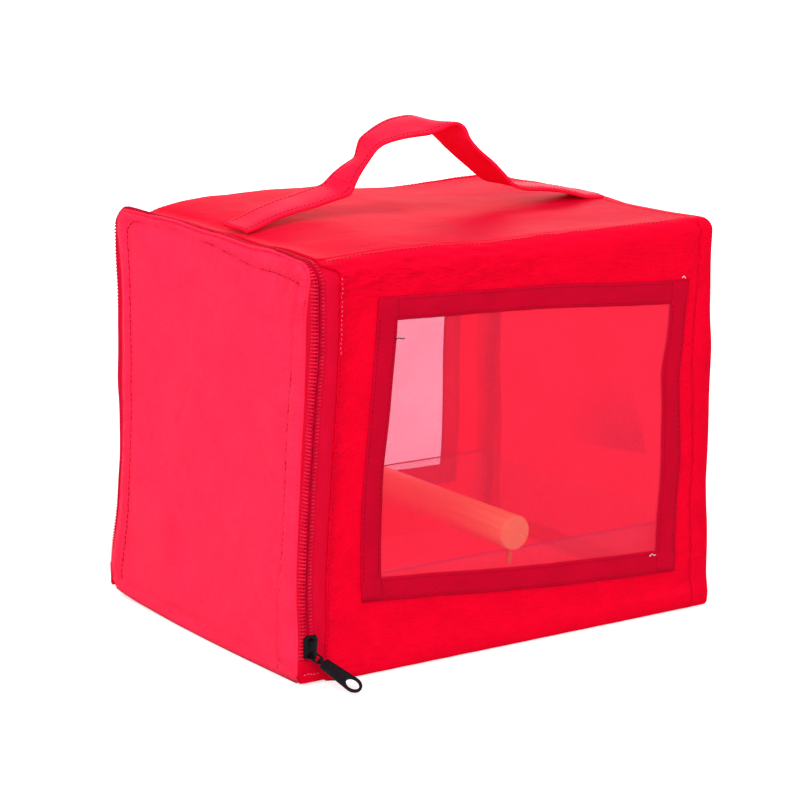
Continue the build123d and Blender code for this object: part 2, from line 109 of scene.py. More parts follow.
def table(value: Array, pairs: Sequence[Pair]) -> Array:
    """Read a smooth curve through (place, amount) pairs.

    Args:
        value: Places to read.
        pairs: Rising places with their amounts.

    Returns:
        The amounts, eased between the pairs.
    """
    places = np.array([p for p, _ in pairs], float)
    amounts = np.array([a for _, a in pairs], float)
    slopes = np.gradient(amounts, places)
    inside = np.clip(value, places[0], places[-1])
    index = np.clip(np.searchsorted(places, inside) - 1, 0, len(places) - 2)
    step = places[index + 1] - places[index]
    t = (inside - places[index]) / step
    return ((2 * t ** 3 - 3 * t ** 2 + 1) * amounts[index] + (t ** 3 - 2 * t ** 2 + t) * step * slopes[index]
            + (3 * t ** 2 - 2 * t ** 3) * amounts[index + 1] + (t ** 3 - t ** 2) * step * slopes[index + 1])


def ripple(points: Array, wavelength: float, seed: int, waves: int = 7) -> Array:
    """Sum a few seeded sine waves in random directions.

    Args:
        points: Places, one row each, in any number of dimensions.
        wavelength: Typical distance between crests.
        seed: Picks the directions and phases.
        waves: How many waves are summed.

    Returns:
        One value per place, mostly between -1 and 1.
    """
    rng = np.random.default_rng(seed)
    directions = unit(rng.normal(size=(waves, points.shape[1])))
    lengths = wavelength * rng.uniform(0.65, 1.6, waves)
    phases = rng.uniform(0, 2 * math.pi, waves)
    turns = points @ (directions * (2 * math.pi / lengths)[:, None]).T + phases
    return np.sin(turns).sum(1) / math.sqrt(waves)


def unit(rows: Array) -> Array:
    """Scale each row to length 1."""
    return rows / np.maximum(np.linalg.norm(rows, axis=1), 1e-9)[:, None]


def travelled(points: Array) -> Array:
    """Lengths along a line, from its first point to each of its points."""
    return np.concatenate([[0], np.cumsum(np.linalg.norm(np.diff(points, axis=0), axis=1))])


def rounded(depths: Array, radius: Array) -> Array:
    """Move places near the sharp edges of a box onto round ones.

    Args:
        depths: Distances inside the faces that meet, one column for each face.
        radius: Radius of the edge, one for each row.

    Returns:
        The new distances.
    """
    inside = np.maximum(radius[:, None] - depths, 0)
    length = np.linalg.norm(inside, axis=1)
    scale = np.where(length > 1e-9, inside.max(1) / np.maximum(length, 1e-9), 1.0)
    return np.where(inside > 0, radius[:, None] - inside * scale[:, None], depths)


def stations(start: float, end: float, step: float, keys: Sequence[float] = ()) -> Array:
    """Divide a run evenly, but with a line exactly at each key place.

    Args:
        start: Lower end of the run.
        end: Upper end of the run.
        step: Wished distance between lines.
        keys: Places that need a line of their own.

    Returns:
        Rising places from start to end.
    """
    stops = sorted({start, end, *(k for k in keys if start < k < end)})
    runs = [np.linspace(a, b, max(1, round((b - a) / step)) + 1)[:-1] for a, b in zip(stops, stops[1:])]
    return np.append(np.concatenate(runs), end)


# ---------------------------------------------------------------- sizes of the carrier


class Wall(Enum):
    """The cloth walls of the box."""

    FRONT = "front"
    BACK = "back"
    TOP = "top"
    BASE = "base"
    END = "end"


@dataclass(frozen=True)
class Window:
    """Opening of one net window, measured along X and up Z."""

    left: float
    right: float
    low: float = 50.25
    high: float = 207.75
    hem: float = 6.0
    band: float = 14.5


@dataclass(frozen=True)
class Box:
    """Sizes of the carrier, in millimetres."""

    height: float = 254.0
    half_depth: float = 111.5
    half_width: float = 160.0
    lean: float = 6.0 / 254.0
    top_fold: float = 14.0          # round as the door's top corners
    end_top_fold: float = 9.0       # and tighter at the closed end
    upright_fold: float = 4.0
    base_fold: float = 2.5
    cloth: float = 1.2
    base_seam: float = 6.5
    top_lap: float = 10.5
    end_seam: float = 145.5
    fold_edge: float = -141.4
    hinge_gap: float = 0.4
    top_reach: float = 11.0         # how much nearer the zip the cloth comes over the top
    front_window: Window = Window(-97.5, 119.5)
    back_window: Window = Window(-106.5, 110.5)

    @property
    def across(self) -> Array:
        """Direction into the carrier, square to the door."""
        angle = math.atan(self.lean)
        return np.array([math.cos(angle), 0.0, -math.sin(angle)])

    @property
    def up_the_door(self) -> Array:
        """Direction up the leaning door."""
        angle = math.atan(self.lean)
        return np.array([math.sin(angle), 0.0, math.cos(angle)])

    @property
    def door_height(self) -> float:
        """Height of the door along its lean."""
        return self.height / math.cos(math.atan(self.lean))

    def in_door(self, y: Array, s: Array, depth: Array) -> Array:
        """Place points given across the door, up the door and into the carrier.

        Args:
            y: Places from front to back.
            s: Heights up the leaning door.
            depth: Depths behind the door's outer face.

        Returns:
            Rows of X, Y and Z.
        """
        y, s, depth = np.broadcast_arrays(y, s, depth)
        points = s[:, None] * self.up_the_door + depth[:, None] * self.across
        points[:, 0] -= self.half_width
        points[:, 1] = y
        return points


BOX = Box()


@dataclass(frozen=True)
class Drape:
    """One smooth slump of the sewn box, applied alike to every layer so that the layers stay nested."""

    box: Box = BOX
    back_bow: tuple[Pair, ...] = ((0, -0.5), (6, -0.4), (14, 1.2), (32, 0.2), (57, -4.8), (74, -8.4),
                                  (92, -11.2), (113, -11.0), (126, -10.0), (142, -6.8), (160, -5.4),
                                  (177, -3.6), (200, -2.0), (220, 0.2), (240, 1.2), (262, 1.0))
    front_bow: tuple[Pair, ...] = ((0, -5.6), (8, -5.2), (20, -2.0), (40, 0), (260, 0))
    foot_skew: tuple[Pair, ...] = ((0, 3.0), (20, 3.0), (46, 2.0), (80, 0.6), (120, 0), (260, 0))
    toe_skew: tuple[Pair, ...] = ((0, 0), (1.5, 0), (6, -2.4), (12, -2.6), (30, -1.6), (60, -1.0), (90, 0),
                                  (260, 0))
    heel_rise: tuple[Pair, ...] = ((-112, 0), (45, 0), (64, 0.5), (82, 1.1), (101, 2.8), (112, 4.4))
    zip_bow: tuple[Pair, ...] = ((0, 0), (30, 0), (46, -0.9), (93, -1.5), (139, -0.9), (184, -0.6),
                                 (208, -0.8), (238, -2.0), (262, -2.0))
    back_ridge: tuple[Pair, ...] = ((-160, 0.8), (-150, 0.2), (-143, -3.2), (-137, -4.4), (-125, -1.4),
                                    (-110, 0.6), (-95, 1.8), (-74, 2.6), (-61, 3.4), (-43, 3.7), (-18, 2.2),
                                    (-9, 2.0), (17, -1.4), (42, -2.3), (85, -1.2), (120, 0), (150, 1.2))
    front_ridge: tuple[Pair, ...] = ((-160, -1.0), (-140, -1.0), (-120, 0.4), (-60, 1.2), (0, 0.4),
                                     (60, -0.6), (120, 0), (150, 1.4))
    end_bow: tuple[Pair, ...] = ((0, -1.0), (12, 1.4), (25, 3.6), (52, 5.2), (66, 4.4), (82, 4.0), (95, 4.6),
                                 (107, 4.9), (122, 4.6), (139, 3.8), (160, 3.1), (173, 2.8), (186, 1.8),
                                 (215, 1.4), (238, 0.4), (260, -1.2))

    def window_shift(self, points: Array) -> tuple[Array, Array]:
        """Skew and bow of the hand-sewn front window.

        Args:
            points: Rows of X, Y and Z.

        Returns:
            Shifts along X and along Z.
        """
        window = self.box.front_window
        x, y, z = points.T
        u = np.clip((x - window.left) / (window.right - window.left), -0.1, 1.1)
        v = np.clip((z - window.low) / (window.high - window.low), -0.1, 1.1)
        corner_x = (1 - v) * ((1 - u) * -3.6 + u * -3.0) + v * ((1 - u) * 1.8 + u * 0.2)
        corner_z = (1 - v) * ((1 - u) * 7.65 + u * -8.15) + v * ((1 - u) * 5.25 + u * -5.25)
        side = np.clip(u, 0, 1)
        rise = np.clip(v, 0, 1)
        corner_x += -3.4 * hump(z, 100, 38) * (1 - side) ** 2 - 3.0 * hump(z, 165, 12) * side ** 4
        corner_x += 1.6 * hump(z, 108, 16) * side ** 4
        corner_z += 2.4 * hump(x, 20, 60) * rise ** 2 - 2.2 * hump(x, 20, 60) * (1 - rise) ** 2
        fade = (smooth(-141, -114, x) * smooth(153, 135, x) * smooth(3, 36, z) * smooth(253, 223, z)
                * smooth(-104, -108.5, y))
        return corner_x * fade, corner_z * fade

    def settle(self, points: Array) -> Array:
        """Move points of the crisp box to where the slumped cloth has them.

        Args:
            points: Rows of X, Y and Z on or in the crisp box.

        Returns:
            The moved rows.
        """
        x, y, z = points.T
        half = self.box.half_depth
        moved = points.astype(float).copy()
        shift_x, shift_z = self.window_shift(points)
        back = np.clip(y / half, 0, 1.1) ** 2
        front = smooth(-50, -half, y)
        moved[:, 1] += table(z, self.back_bow) * back * smooth(-62, -150, x)
        at_zip = front * smooth(-112, -141, x)
        moved[:, 1] += table(z, self.front_bow) * front * (1 - 0.75 * smooth(-132, -143, x))
        by_door = smooth(-100, -141, x)
        moved[:, 0] += table(z, self.foot_skew) * smooth(-40, half, y) * by_door
        moved[:, 0] += table(z, self.toe_skew) * front * by_door
        moved[:, 2] += table(y, self.heel_rise) * by_door * smooth(44, 10, z)
        moved[:, 0] += table(z, self.zip_bow) * at_zip + shift_x
        rise = np.clip(z / self.box.height, 0, 1)
        moved[:, 0] += smooth(115, 152, x) * (table(z, self.end_bow) * smooth(60, -100, y)
                                              - 1.2 * smooth(-60, 60, y) * np.sin(math.pi * rise))
        share = np.clip((y + half) / (2 * half), 0, 1)
        crown = 2.2 * (1 - (2 * share - 1) ** 2) * smooth(-150, -90, x) * smooth(150, 60, x)
        ridge = table(x, self.front_ridge) * (1 - share) + table(x, self.back_ridge) * share + crown
        moved[:, 2] += ridge * smooth(150, 250, z) + shift_z
        calm = smooth(4, 40, z) * (1 - 0.92 * at_zip)
        near_side = smooth(70, 105, np.abs(y))
        near_ends = np.maximum(smooth(110, 150, x), 0.6 * smooth(-140, -158, x))
        by_perch = 1 - 0.9 * hump(x, 2, 28)     # the perch's ends slide up here, 1 mm inside the walls
        sides = calm * near_side * by_perch
        for depth, wavelength, seed in ((1.5, 95, 11), (0.5, 34, 12)):
            moved[:, 1] += depth * ripple(points * (1, 0.4, 1), wavelength, seed) * sides
        moved[:, 0] += 1.3 * ripple(points * (0.4, 1, 1), 85, 13) * calm * near_ends
        moved[:, 2] += 0.9 * ripple(points * (1, 1, 0.4), 80, 14) * smooth(200, 250, z) * (1 - 0.92 * at_zip)
        return moved


DRAPE = Drape()


@dataclass(frozen=True)
class Surface:
    """A wall as a map from its flat cloth to its place on the slumped box."""

    wall: Wall
    box: Box = BOX
    drape: Drape = DRAPE

    def fold_radius(self, x: Array, z: Array) -> Array:
        """Radius of the folds at a place: tight up the corners, round at the top by the door."""
        box = self.box
        high = smooth(box.height - 52, box.height - box.top_fold, z)
        low = smooth(20, box.base_fold, z)
        top_fold = box.top_fold + (box.end_top_fold - box.top_fold) * smooth(40, 125, x)
        return (box.upright_fold + (top_fold - box.upright_fold) * high
                + (box.base_fold - box.upright_fold) * low)

    def crisp(self, u: Array, v: Array) -> Array:
        """Lay flat cloth coordinates on the sharp-edged upright box."""
        box = self.box
        if self.wall in (Wall.TOP, Wall.BASE):
            z = np.full_like(u, box.height if self.wall is Wall.TOP else 0.0)
            return np.stack([u, v, z], 1)
        z = np.clip(v, 0, box.height)
        over = np.maximum(v - box.height, 0) + np.maximum(-v, 0)
        if self.wall is Wall.END:
            y = np.clip(u, -box.half_depth, box.half_depth)
            x = box.half_width - np.maximum(np.abs(u) - box.half_depth, 0) - over
            return np.stack([x, y, z], 1)
        sign = -1 if self.wall is Wall.FRONT else 1
        return np.stack([u, sign * (box.half_depth - over), z], 1)

    def fold(self, points: Array) -> Array:
        """Round the sharp box's edges and lean its two ends."""
        box = self.box
        x, y, z = points.T
        depths = np.stack([box.half_width - x, box.half_depth - np.abs(y), np.minimum(box.height - z, z)], 1)
        depths = rounded(depths, self.fold_radius(x, z))
        new_x = box.half_width - depths[:, 0]
        new_y = np.where(y < 0, -1, 1) * (box.half_depth - depths[:, 1])
        new_z = np.where(z > box.height / 2, box.height - depths[:, 2], depths[:, 2])
        new_x += box.lean * new_z * (smooth(-116, box.fold_edge, new_x) - smooth(126, 146, new_x))
        return np.stack([new_x, new_y, new_z], 1)

    def place(self, u: Array, v: Array) -> Array:
        """Lay flat coordinates on the slumped box."""
        return self.drape.settle(self.fold(self.crisp(u, v)))

    @property
    def outwards(self) -> Triple:
        """Direction that the wall's outer side looks in."""
        return {Wall.FRONT: (0, -1, 0), Wall.BACK: (0, 1, 0), Wall.TOP: (0, 0, 1), Wall.BASE: (0, 0, -1),
                Wall.END: (1, 0, 0)}[self.wall]

    def sheet(self, us: Array, vs: Array, height: FlatMap | float,
              keep: FlatMap | None = None) -> BMesh:
        """Lay a strip or a net over the wall, with its faces outwards.

        Args:
            us: Lines along the wall.
            vs: Lines up or across the wall.
            height: Height over the wall, or what gives it by the flat place.
            keep: Says which faces stay, by their flat middles.

        Returns:
            The laid sheet.
        """
        def laid(u: Array, v: Array) -> Array:
            return self.lifted(u, v, height(u, v) if callable(height) else height)

        return faced(grid(us, vs, laid, keep), self.outwards)

    def lifted(self, u: Array, v: Array, height: Array | float) -> Array:
        """Lay flat coordinates at a height over the slumped wall.

        Args:
            u: Flat places along the wall.
            v: Flat places up or across the wall.
            height: Distance over the wall, outwards.

        Returns:
            Rows of X, Y and Z.
        """
        step = 0.7
        along = self.place(u + step, v) - self.place(u - step, v)
        up = self.place(u, v + step) - self.place(u, v - step)
        normal = unit(np.cross(along, up))
        if self.wall in (Wall.BACK, Wall.BASE):
            normal = -normal
        return self.place(u, v) + normal * np.broadcast_to(np.asarray(height, float), u.shape)[:, None]


# ---------------------------------------------------------------- mesh helpers


def coordinates(bm: BMesh) -> Array:
    """Return the places of all vertices, one row each."""
    return np.array([v.co for v in bm.verts], float).reshape(-1, 3)


def set_coordinates(bm: BMesh, points: Array) -> None:
    """Move all vertices to the given rows."""
    for vert, point in zip(bm.verts, points):
        vert.co = point


def grid(us: Array, vs: Array, place: FlatMap, keep: FlatMap | None = None,
         crease: FlatMap | None = None) -> BMesh:
    """Make a grid of cloth and lay it in place, with its flat millimetres as its UV map.

    Args:
        us: Lines along the cloth.
        vs: Lines across the cloth.
        place: Turns flat coordinates to places.
        keep: Says which faces stay, by their flat middles.
        crease: Amount of puckering, stored on the vertices for the finish.

    Returns:
        The laid grid.
    """
    bm = bmesh.new()
    uv = bm.loops.layers.uv.new(UV_NAME)
    bmesh.ops.create_grid(bm, x_segments=len(us) - 1, y_segments=len(vs) - 1, size=0.5)
    flat = coordinates(bm)
    u = us[np.rint((flat[:, 0] + 0.5) * (len(us) - 1)).astype(int)]
    v = vs[np.rint((flat[:, 1] + 0.5) * (len(vs) - 1)).astype(int)]
    bm.verts.index_update()
    for face in bm.faces:
        for loop in face.loops:
            loop[uv].uv = (u[loop.vert.index], v[loop.vert.index])
    if crease is not None:
        layer = bm.verts.layers.float.new(CREASE)
        for vert, amount in zip(bm.verts, crease(u, v)):
            vert[layer] = amount
    set_coordinates(bm, place(u, v))
    if keep is not None:
        corners = np.array([[x.index for x in f.verts] for f in bm.faces])
        middles = np.stack([u[corners].mean(1), v[corners].mean(1)], 1)
        stays = keep(middles[:, 0], middles[:, 1])
        bmesh.ops.delete(bm, geom=[f for f, s in zip(bm.faces, stays) if not s], context="FACES")
    bmesh.ops.remove_doubles(bm, verts=bm.verts[:], dist=0.01)
    return bm


def faced(bm: BMesh, outwards: Triple) -> BMesh:
    """Turn a sheet over if its faces look away from a direction.

    Args:
        bm: A sheet whose faces all look to the same side of it.
        outwards: The direction that they should look in.

    Returns:
        The same sheet.
    """
    bm.normal_update()
    if sum(f.normal.dot(Vector(outwards)) for f in bm.faces) < 0:
        bmesh.ops.reverse_faces(bm, faces=bm.faces[:])
    return bm


def tube(points: Array, radius: float, sides: int) -> BMesh:
    """Sweep a round section along a line of points and close its ends.

    Args:
        points: Rows of the line.
        radius: Radius of the section.
        sides: Faces round the section.

    Returns:
        The tube, with its length and girth in millimetres as its UV map.
    """
    tangents = unit(np.gradient(points, axis=0))
    reference = np.array([0.0, 0.0, 1.0]) if abs(tangents[0][2]) < 0.9 else np.array([0.0, 1.0, 0.0])
    first = []
    for tangent in tangents:
        reference = reference - tangent * (reference @ tangent)
        reference = reference / np.linalg.norm(reference)
        first.append(reference)
    first = np.array(first)
    second = np.cross(tangents, first)
    lengths = travelled(points)

    def place(u: Array, v: Array) -> Array:
        index = np.searchsorted(lengths, u - 1e-6).clip(0, len(points) - 1)
        turn = (v / radius)[:, None]
        return points[index] + radius * (np.cos(turn) * first[index] + np.sin(turn) * second[index])

    bm = grid(lengths, np.linspace(0, 2 * math.pi * radius, sides + 1), place)
    bmesh.ops.holes_fill(bm, edges=[e for e in bm.edges if e.is_boundary], sides=0)
    bmesh.ops.recalc_face_normals(bm, faces=bm.faces[:])
    return bm


def scatter(stamp: Callable[[BMesh], None], frames: Sequence[Matrix]) -> BMesh:
    """Repeat a small shape at many places.

    Args:
        stamp: Adds the shape, at the origin, to an empty bmesh.
        frames: Where the copies go.

    Returns:
        All copies in one bmesh.
    """
    master = bmesh.new()
    stamp(master)
    count = len(master.verts)
    mesh = bpy.data.meshes.new("stamp")
    master.to_mesh(mesh)
    master.free()
    bm = bmesh.new()
    for _ in frames:
        bm.from_mesh(mesh)
    bpy.data.meshes.remove(mesh)
    if len(frames):
        shapes = coordinates(bm).reshape(len(frames), count, 3)
        matrices = np.array([[list(row) for row in frame] for frame in frames])
        placed = np.einsum("fij,fnj->fni", matrices[:, :3, :3], shapes) + matrices[:, None, :3, 3]
        set_coordinates(bm, placed.reshape(-1, 3))
    return bm


def frame_of(place: Array, along: Array, outwards: Array) -> Matrix:
    """Make a matrix with X along a direction and Z outwards, at a place."""
    x_axis = Vector(along).normalized()
    z_axis = Vector(outwards)
    z_axis = (z_axis - x_axis * z_axis.dot(x_axis)).normalized()
    y_axis = z_axis.cross(x_axis)
    matrix = Matrix((x_axis, y_axis, z_axis)).transposed().to_4x4()
    matrix.translation = Vector(place)
    return matrix


def stitches(line: Array, outwards: Array, length: float = 2.2, gap: float = 0.9,
             girth: float = 0.42) -> BMesh:
    """Sew a row of stitches along a line.

    Args:
        line: Rows of closely spaced points.
        outwards: The cloth's outward direction at each point.
        length: Length of one stitch.
        gap: Cloth shown between two stitches.
        girth: Thickness of the thread.

    Returns:
        One small lozenge of thread per stitch.
    """
    lift = 0.05     # of the thread's middle over the line
    lengths = travelled(line)

    def at(reach: float, rows: Array) -> Array:
        return np.array([np.interp(reach, lengths, rows[:, i]) for i in range(3)])

    frames = []
    for start in np.arange(gap, lengths[-1] - length, length + gap):
        near, far, out = at(start, line), at(start + length, line), at(start + length / 2, outwards)
        frames.append(frame_of((near + far) / 2 + out * lift, far - near, out))

    def stamp(bm: BMesh) -> None:
        bmesh.ops.create_uvsphere(bm, u_segments=6, v_segments=5, radius=0.5)
        bmesh.ops.rotate(bm, verts=bm.verts[:], cent=(0, 0, 0), matrix=Matrix.Rotation(math.pi / 2, 3, "Y"))
        bmesh.ops.scale(bm, verts=bm.verts[:], vec=(length, girth, girth * 0.8))

    return scatter(stamp, frames)


def sewn(place: Callable[[Array, Array, float], Array], u: Array, v: Array, low: float, high: float,
         **sizes: float) -> BMesh:
    """Sew a row of stitches on laid cloth.

    Args:
        place: Turns flat coordinates and a height over the cloth to places.
        u: First flat coordinates of the row.
        v: Second flat coordinates of the row.
        low: Height of the row.
        high: A height about 1 mm above it, which gives the outward direction.
        sizes: Sizes of the stitches.

    Returns:
        The stitches.
    """
    line = place(u, v, low)
    return stitches(line, place(u, v, high) - line, **sizes)


def joined(parts: Sequence[BMesh]) -> BMesh:
    """Put several bmeshes into the first and free the others."""
    whole = parts[0]
    for part in parts[1:]:
        mesh = bpy.data.meshes.new("joined")
        part.to_mesh(mesh)
        whole.from_mesh(mesh)
        bpy.data.meshes.remove(mesh)
        part.free()
    return whole


def lay_down(name: str, bm: BMesh, finish: Material,
             body: str | None = "root", replaces: Sequence[str] = (), thickness: float = 0.0,
             sharp: float | None = None) -> Piece:
    """Turn a bmesh in millimetres to a finished piece in metres.

    Args:
        name: The piece's name.
        bm: Its mesh, which is freed.
        finish: Its material.
        body: The body that it rides on, or None where it rides on no body.
        replaces: The nodes that it stands for.
        thickness: Cloth thickness added inwards by Solidify, in millimetres.
        sharp: Angle in degrees past which edges look sharp, or None for smooth cloth.

    Returns:
        The new object.
    """
    bmesh.ops.scale(bm, verts=bm.verts[:], vec=(MM, MM, MM))
    for face in bm.faces:
        face.smooth = True
    if sharp is not None:
        for edge in bm.edges:
            if len(edge.link_faces) == 2 and edge.calc_face_angle(0) > math.radians(sharp):
                edge.smooth = False
    mesh = bpy.data.meshes.new(name)
    bm.to_mesh(mesh)
    bm.free()
    mesh.materials.append(finish)
    piece = bpy.data.objects.new(name, mesh)
    bpy.context.scene.collection.objects.link(piece)
    if thickness:
        solid = piece.modifiers.new("thickness", "SOLIDIFY")
        solid.thickness = thickness * MM
        solid.offset = -1.0
        solid.use_even_offset = False
    if body:
        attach(piece, body)
    if replaces:
        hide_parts(*replaces)
    log.info("laid %s: %d vertices", name, len(mesh.vertices))
    return piece


def node_mesh(node: str) -> BMesh:
    """Copy a node's mesh in millimetres, with its loose triangles merged."""
    bm = bmesh.new()
    bm.from_mesh(bpy.data.objects[node].data)
    bmesh.ops.scale(bm, verts=bm.verts[:], vec=(1 / MM, 1 / MM, 1 / MM))
    bmesh.ops.remove_doubles(bm, verts=bm.verts[:], dist=0.002)
    return bm


def box_mapped(bm: BMesh) -> None:
    """Give a mesh a UV map in millimetres, projected along each face's main direction."""
    uv = bm.loops.layers.uv.get(UV_NAME) or bm.loops.layers.uv.new(UV_NAME)
    bm.normal_update()
    for face in bm.faces:
        normal = [abs(c) for c in face.normal]
        skip = normal.index(max(normal))
        first, second = ((1, 2), (0, 2), (0, 1))[skip]
        for loop in face.loops:
            loop[uv].uv = (loop.vert.co[first], loop.vert.co[second])


def settled_copy(node: str, finish: Material, body: str) -> None:
    """Copy a flat layer's node, divide it and slump it with the cloth.

    Args:
        node: The layer's node, for which the copy stands.
        finish: Its material.
        body: The body that it rides on.
    """
    step = 9.0      # between the dividing cuts
    bm = node_mesh(node)
    points = coordinates(bm)
    for axis, normal in enumerate(Matrix.Identity(3)):
        for cut in stations(points[:, axis].min(), points[:, axis].max(), step)[1:-1]:
            bmesh.ops.bisect_plane(bm, geom=bm.verts[:] + bm.edges[:] + bm.faces[:], dist=1e-4,
                                   plane_co=normal * cut, plane_no=normal)
    box_mapped(bm)
    set_coordinates(bm, DRAPE.settle(coordinates(bm)))
    lay_down(f"{node}_soft", bm, finish, body, replaces=[node], sharp=40)


def bevelled_copy(node: str, finish: Material, body: str, width: float,
                  segments: int) -> None:
    """Copy a hard part's node and break its sharp edges.

    Args:
        node: The part's node, for which the copy stands.
        finish: Its material.
        body: The body that it rides on.
        width: Width of the broken edge.
        segments: Faces across the broken edge.
    """
    bm = node_mesh(node)
    bmesh.ops.dissolve_limit(bm, angle_limit=math.radians(1.0), verts=bm.verts[:], edges=bm.edges[:])
    edges = [e for e in bm.edges if len(e.link_faces) == 2 and e.calc_face_angle(0) > math.radians(35)]
    bmesh.ops.bevel(bm, geom=edges, offset=width, offset_type="OFFSET", affect="EDGES", segments=segments,
                    profile=0.5, material=-1, clamp_overlap=True)
    box_mapped(bm)
    lay_down(f"{node}_worked", bm, finish, body, replaces=[node], sharp=32)


# ---------------------------------------------------------------- finishes


@dataclass(frozen=True)
class Nodes:
    """A material's or world's node tree, with short ways to add the nodes that the finishes share."""

    tree: bpy.types.NodeTree

    @classmethod
    def of(cls, owner: Material | bpy.types.World) -> Nodes:
        """Give a material or a world an empty node tree."""
        owner.use_nodes = True
        owner.node_tree.nodes.clear()
        return cls(owner.node_tree)

    def add(self, kind: str, inputs: dict | None = None, **settings: object) -> bpy.types.Node:
        """Add a node with its settings, values and links.

        Args:
            kind: Name of the node's type, without its ShaderNode prefix.
            inputs: Values or output sockets for the node's inputs, by name or number.
            settings: Properties of the node.

        Returns:
            The new node.
        """
        node = self.tree.nodes.new(f"ShaderNode{kind}")
        for name, value in settings.items():
            setattr(node, name, value)
        for socket, value in (inputs or {}).items():
            if isinstance(value, Socket):
                self.tree.links.new(value, node.inputs[socket])
            else:
                node.inputs[socket].default_value = value
        return node

    def flat(self) -> Socket:
        """Read the cloth's flat coordinates, in millimetres."""
        return self.add("UVMap", uv_map=UV_NAME).outputs[0]

    def local(self, kind: str = "Object") -> Socket:
        """Read the place on the object, in metres, or its normal."""
        return self.add("TexCoord").outputs[kind]

    def noise(self, size: Triple, detail: float = 2.0, distortion: float = 0.0) -> Socket:
        """Add noise whose grain is `size` millimetres long each way on flat cloth."""
        mapped = self.add("Mapping", {"Vector": self.flat(), "Scale": tuple(1 / s for s in size)})
        return self.add("TexNoise", {"Vector": mapped.outputs[0], "Scale": 1.0, "Detail": detail,
                                     "Distortion": distortion}).outputs[0]

    def specks(self, scale: float, detail: float = 2.0) -> Socket:
        """Add noise with `scale` grains to the metre, the same each way."""
        return self.add("TexNoise", {"Vector": self.local(), "Scale": scale, "Detail": detail}).outputs[0]

    def calc(self, operation: str, first: Socket | float, second: Socket | float) -> Socket:
        """Combine two values."""
        return self.add("Math", {0: first, 1: second}, operation=operation).outputs[0]

    def plus(self, first: Socket | float, second: Socket | float) -> Socket:
        """Add two values."""
        return self.calc("ADD", first, second)

    def times(self, first: Socket | float, second: Socket | float) -> Socket:
        """Multiply two values."""
        return self.calc("MULTIPLY", first, second)

    def span(self, value: Socket, low: float, high: float, to_low: float = 0.0,
             to_high: float = 1.0) -> Socket:
        """Map a value from one range to another, clamped."""
        return self.add("MapRange", {0: value, 1: low, 2: high, 3: to_low, 4: to_high}).outputs[0]

    def blended(self, factor: Socket, *colours: Socket | str | tuple) -> Socket:
        """Mix two colours by a factor."""
        first, second = (linear(c) if isinstance(c, str) else c for c in colours)
        return self.add("Mix", {0: factor, 6: first, 7: second}, data_type="RGBA").outputs[2]

    def bump(self, height: Socket, depth: float, under: Socket | None = None) -> Socket:
        """Add relief of a depth in millimetres, over other relief where that is given."""
        inputs = {"Height": height, "Strength": 1.0, "Distance": depth * MM}
        return self.add("Bump", inputs | ({} if under is None else {"Normal": under})).outputs[0]

    def surface(self, colour: Socket | str, rough: Socket | float, gloss: float, relief: Socket | None = None,
                more: dict | None = None) -> Socket:
        """Add a shader that reflects.

        Args:
            colour: Its colour.
            rough: Its roughness.
            gloss: How strongly it mirrors.
            relief: Its bumps.
            more: Other inputs.

        Returns:
            The shader.
        """
        inputs = {"Base Color": linear(colour) if isinstance(colour, str) else colour, "Roughness": rough,
                  "Specular IOR Level": gloss}
        if relief is not None:
            inputs["Normal"] = relief
        return self.add("BsdfPrincipled", inputs | (more or {})).outputs[0]

    def clear(self, colour: str) -> Socket:
        """Add a shader that lets tinted light straight through."""
        return self.add("BsdfTransparent", {"Color": linear(colour)}).outputs[0]

    def mixed(self, factor: Socket | float, first: Socket, second: Socket) -> Socket:
        """Mix two shaders by a factor."""
        return self.add("MixShader", {0: factor, 1: first, 2: second}).outputs[0]

    def seen(self) -> Socket:
        """Tell rays that end in the eye, also by way of a mirror or a clear sheet, from all others."""
        path = self.add("LightPath").outputs
        mirrored = self.calc("MAXIMUM", path["Is Camera Ray"], path["Is Glossy Ray"])
        return self.calc("MAXIMUM", mirrored, path["Is Transmission Ray"])


@dataclass(frozen=True)
class Finish:
    """A material, named for what it is and how its surface was made."""

    name: str

    def shader(self, nodes: Nodes) -> Socket:
        """Add the nodes of the finish and return its shader."""
        raise NotImplementedError

    def build(self) -> Material:
        """Make the material."""
        material = bpy.data.materials.new(self.name)
        nodes = Nodes.of(material)
        nodes.add("OutputMaterial", {0: self.shader(nodes)})
        return material


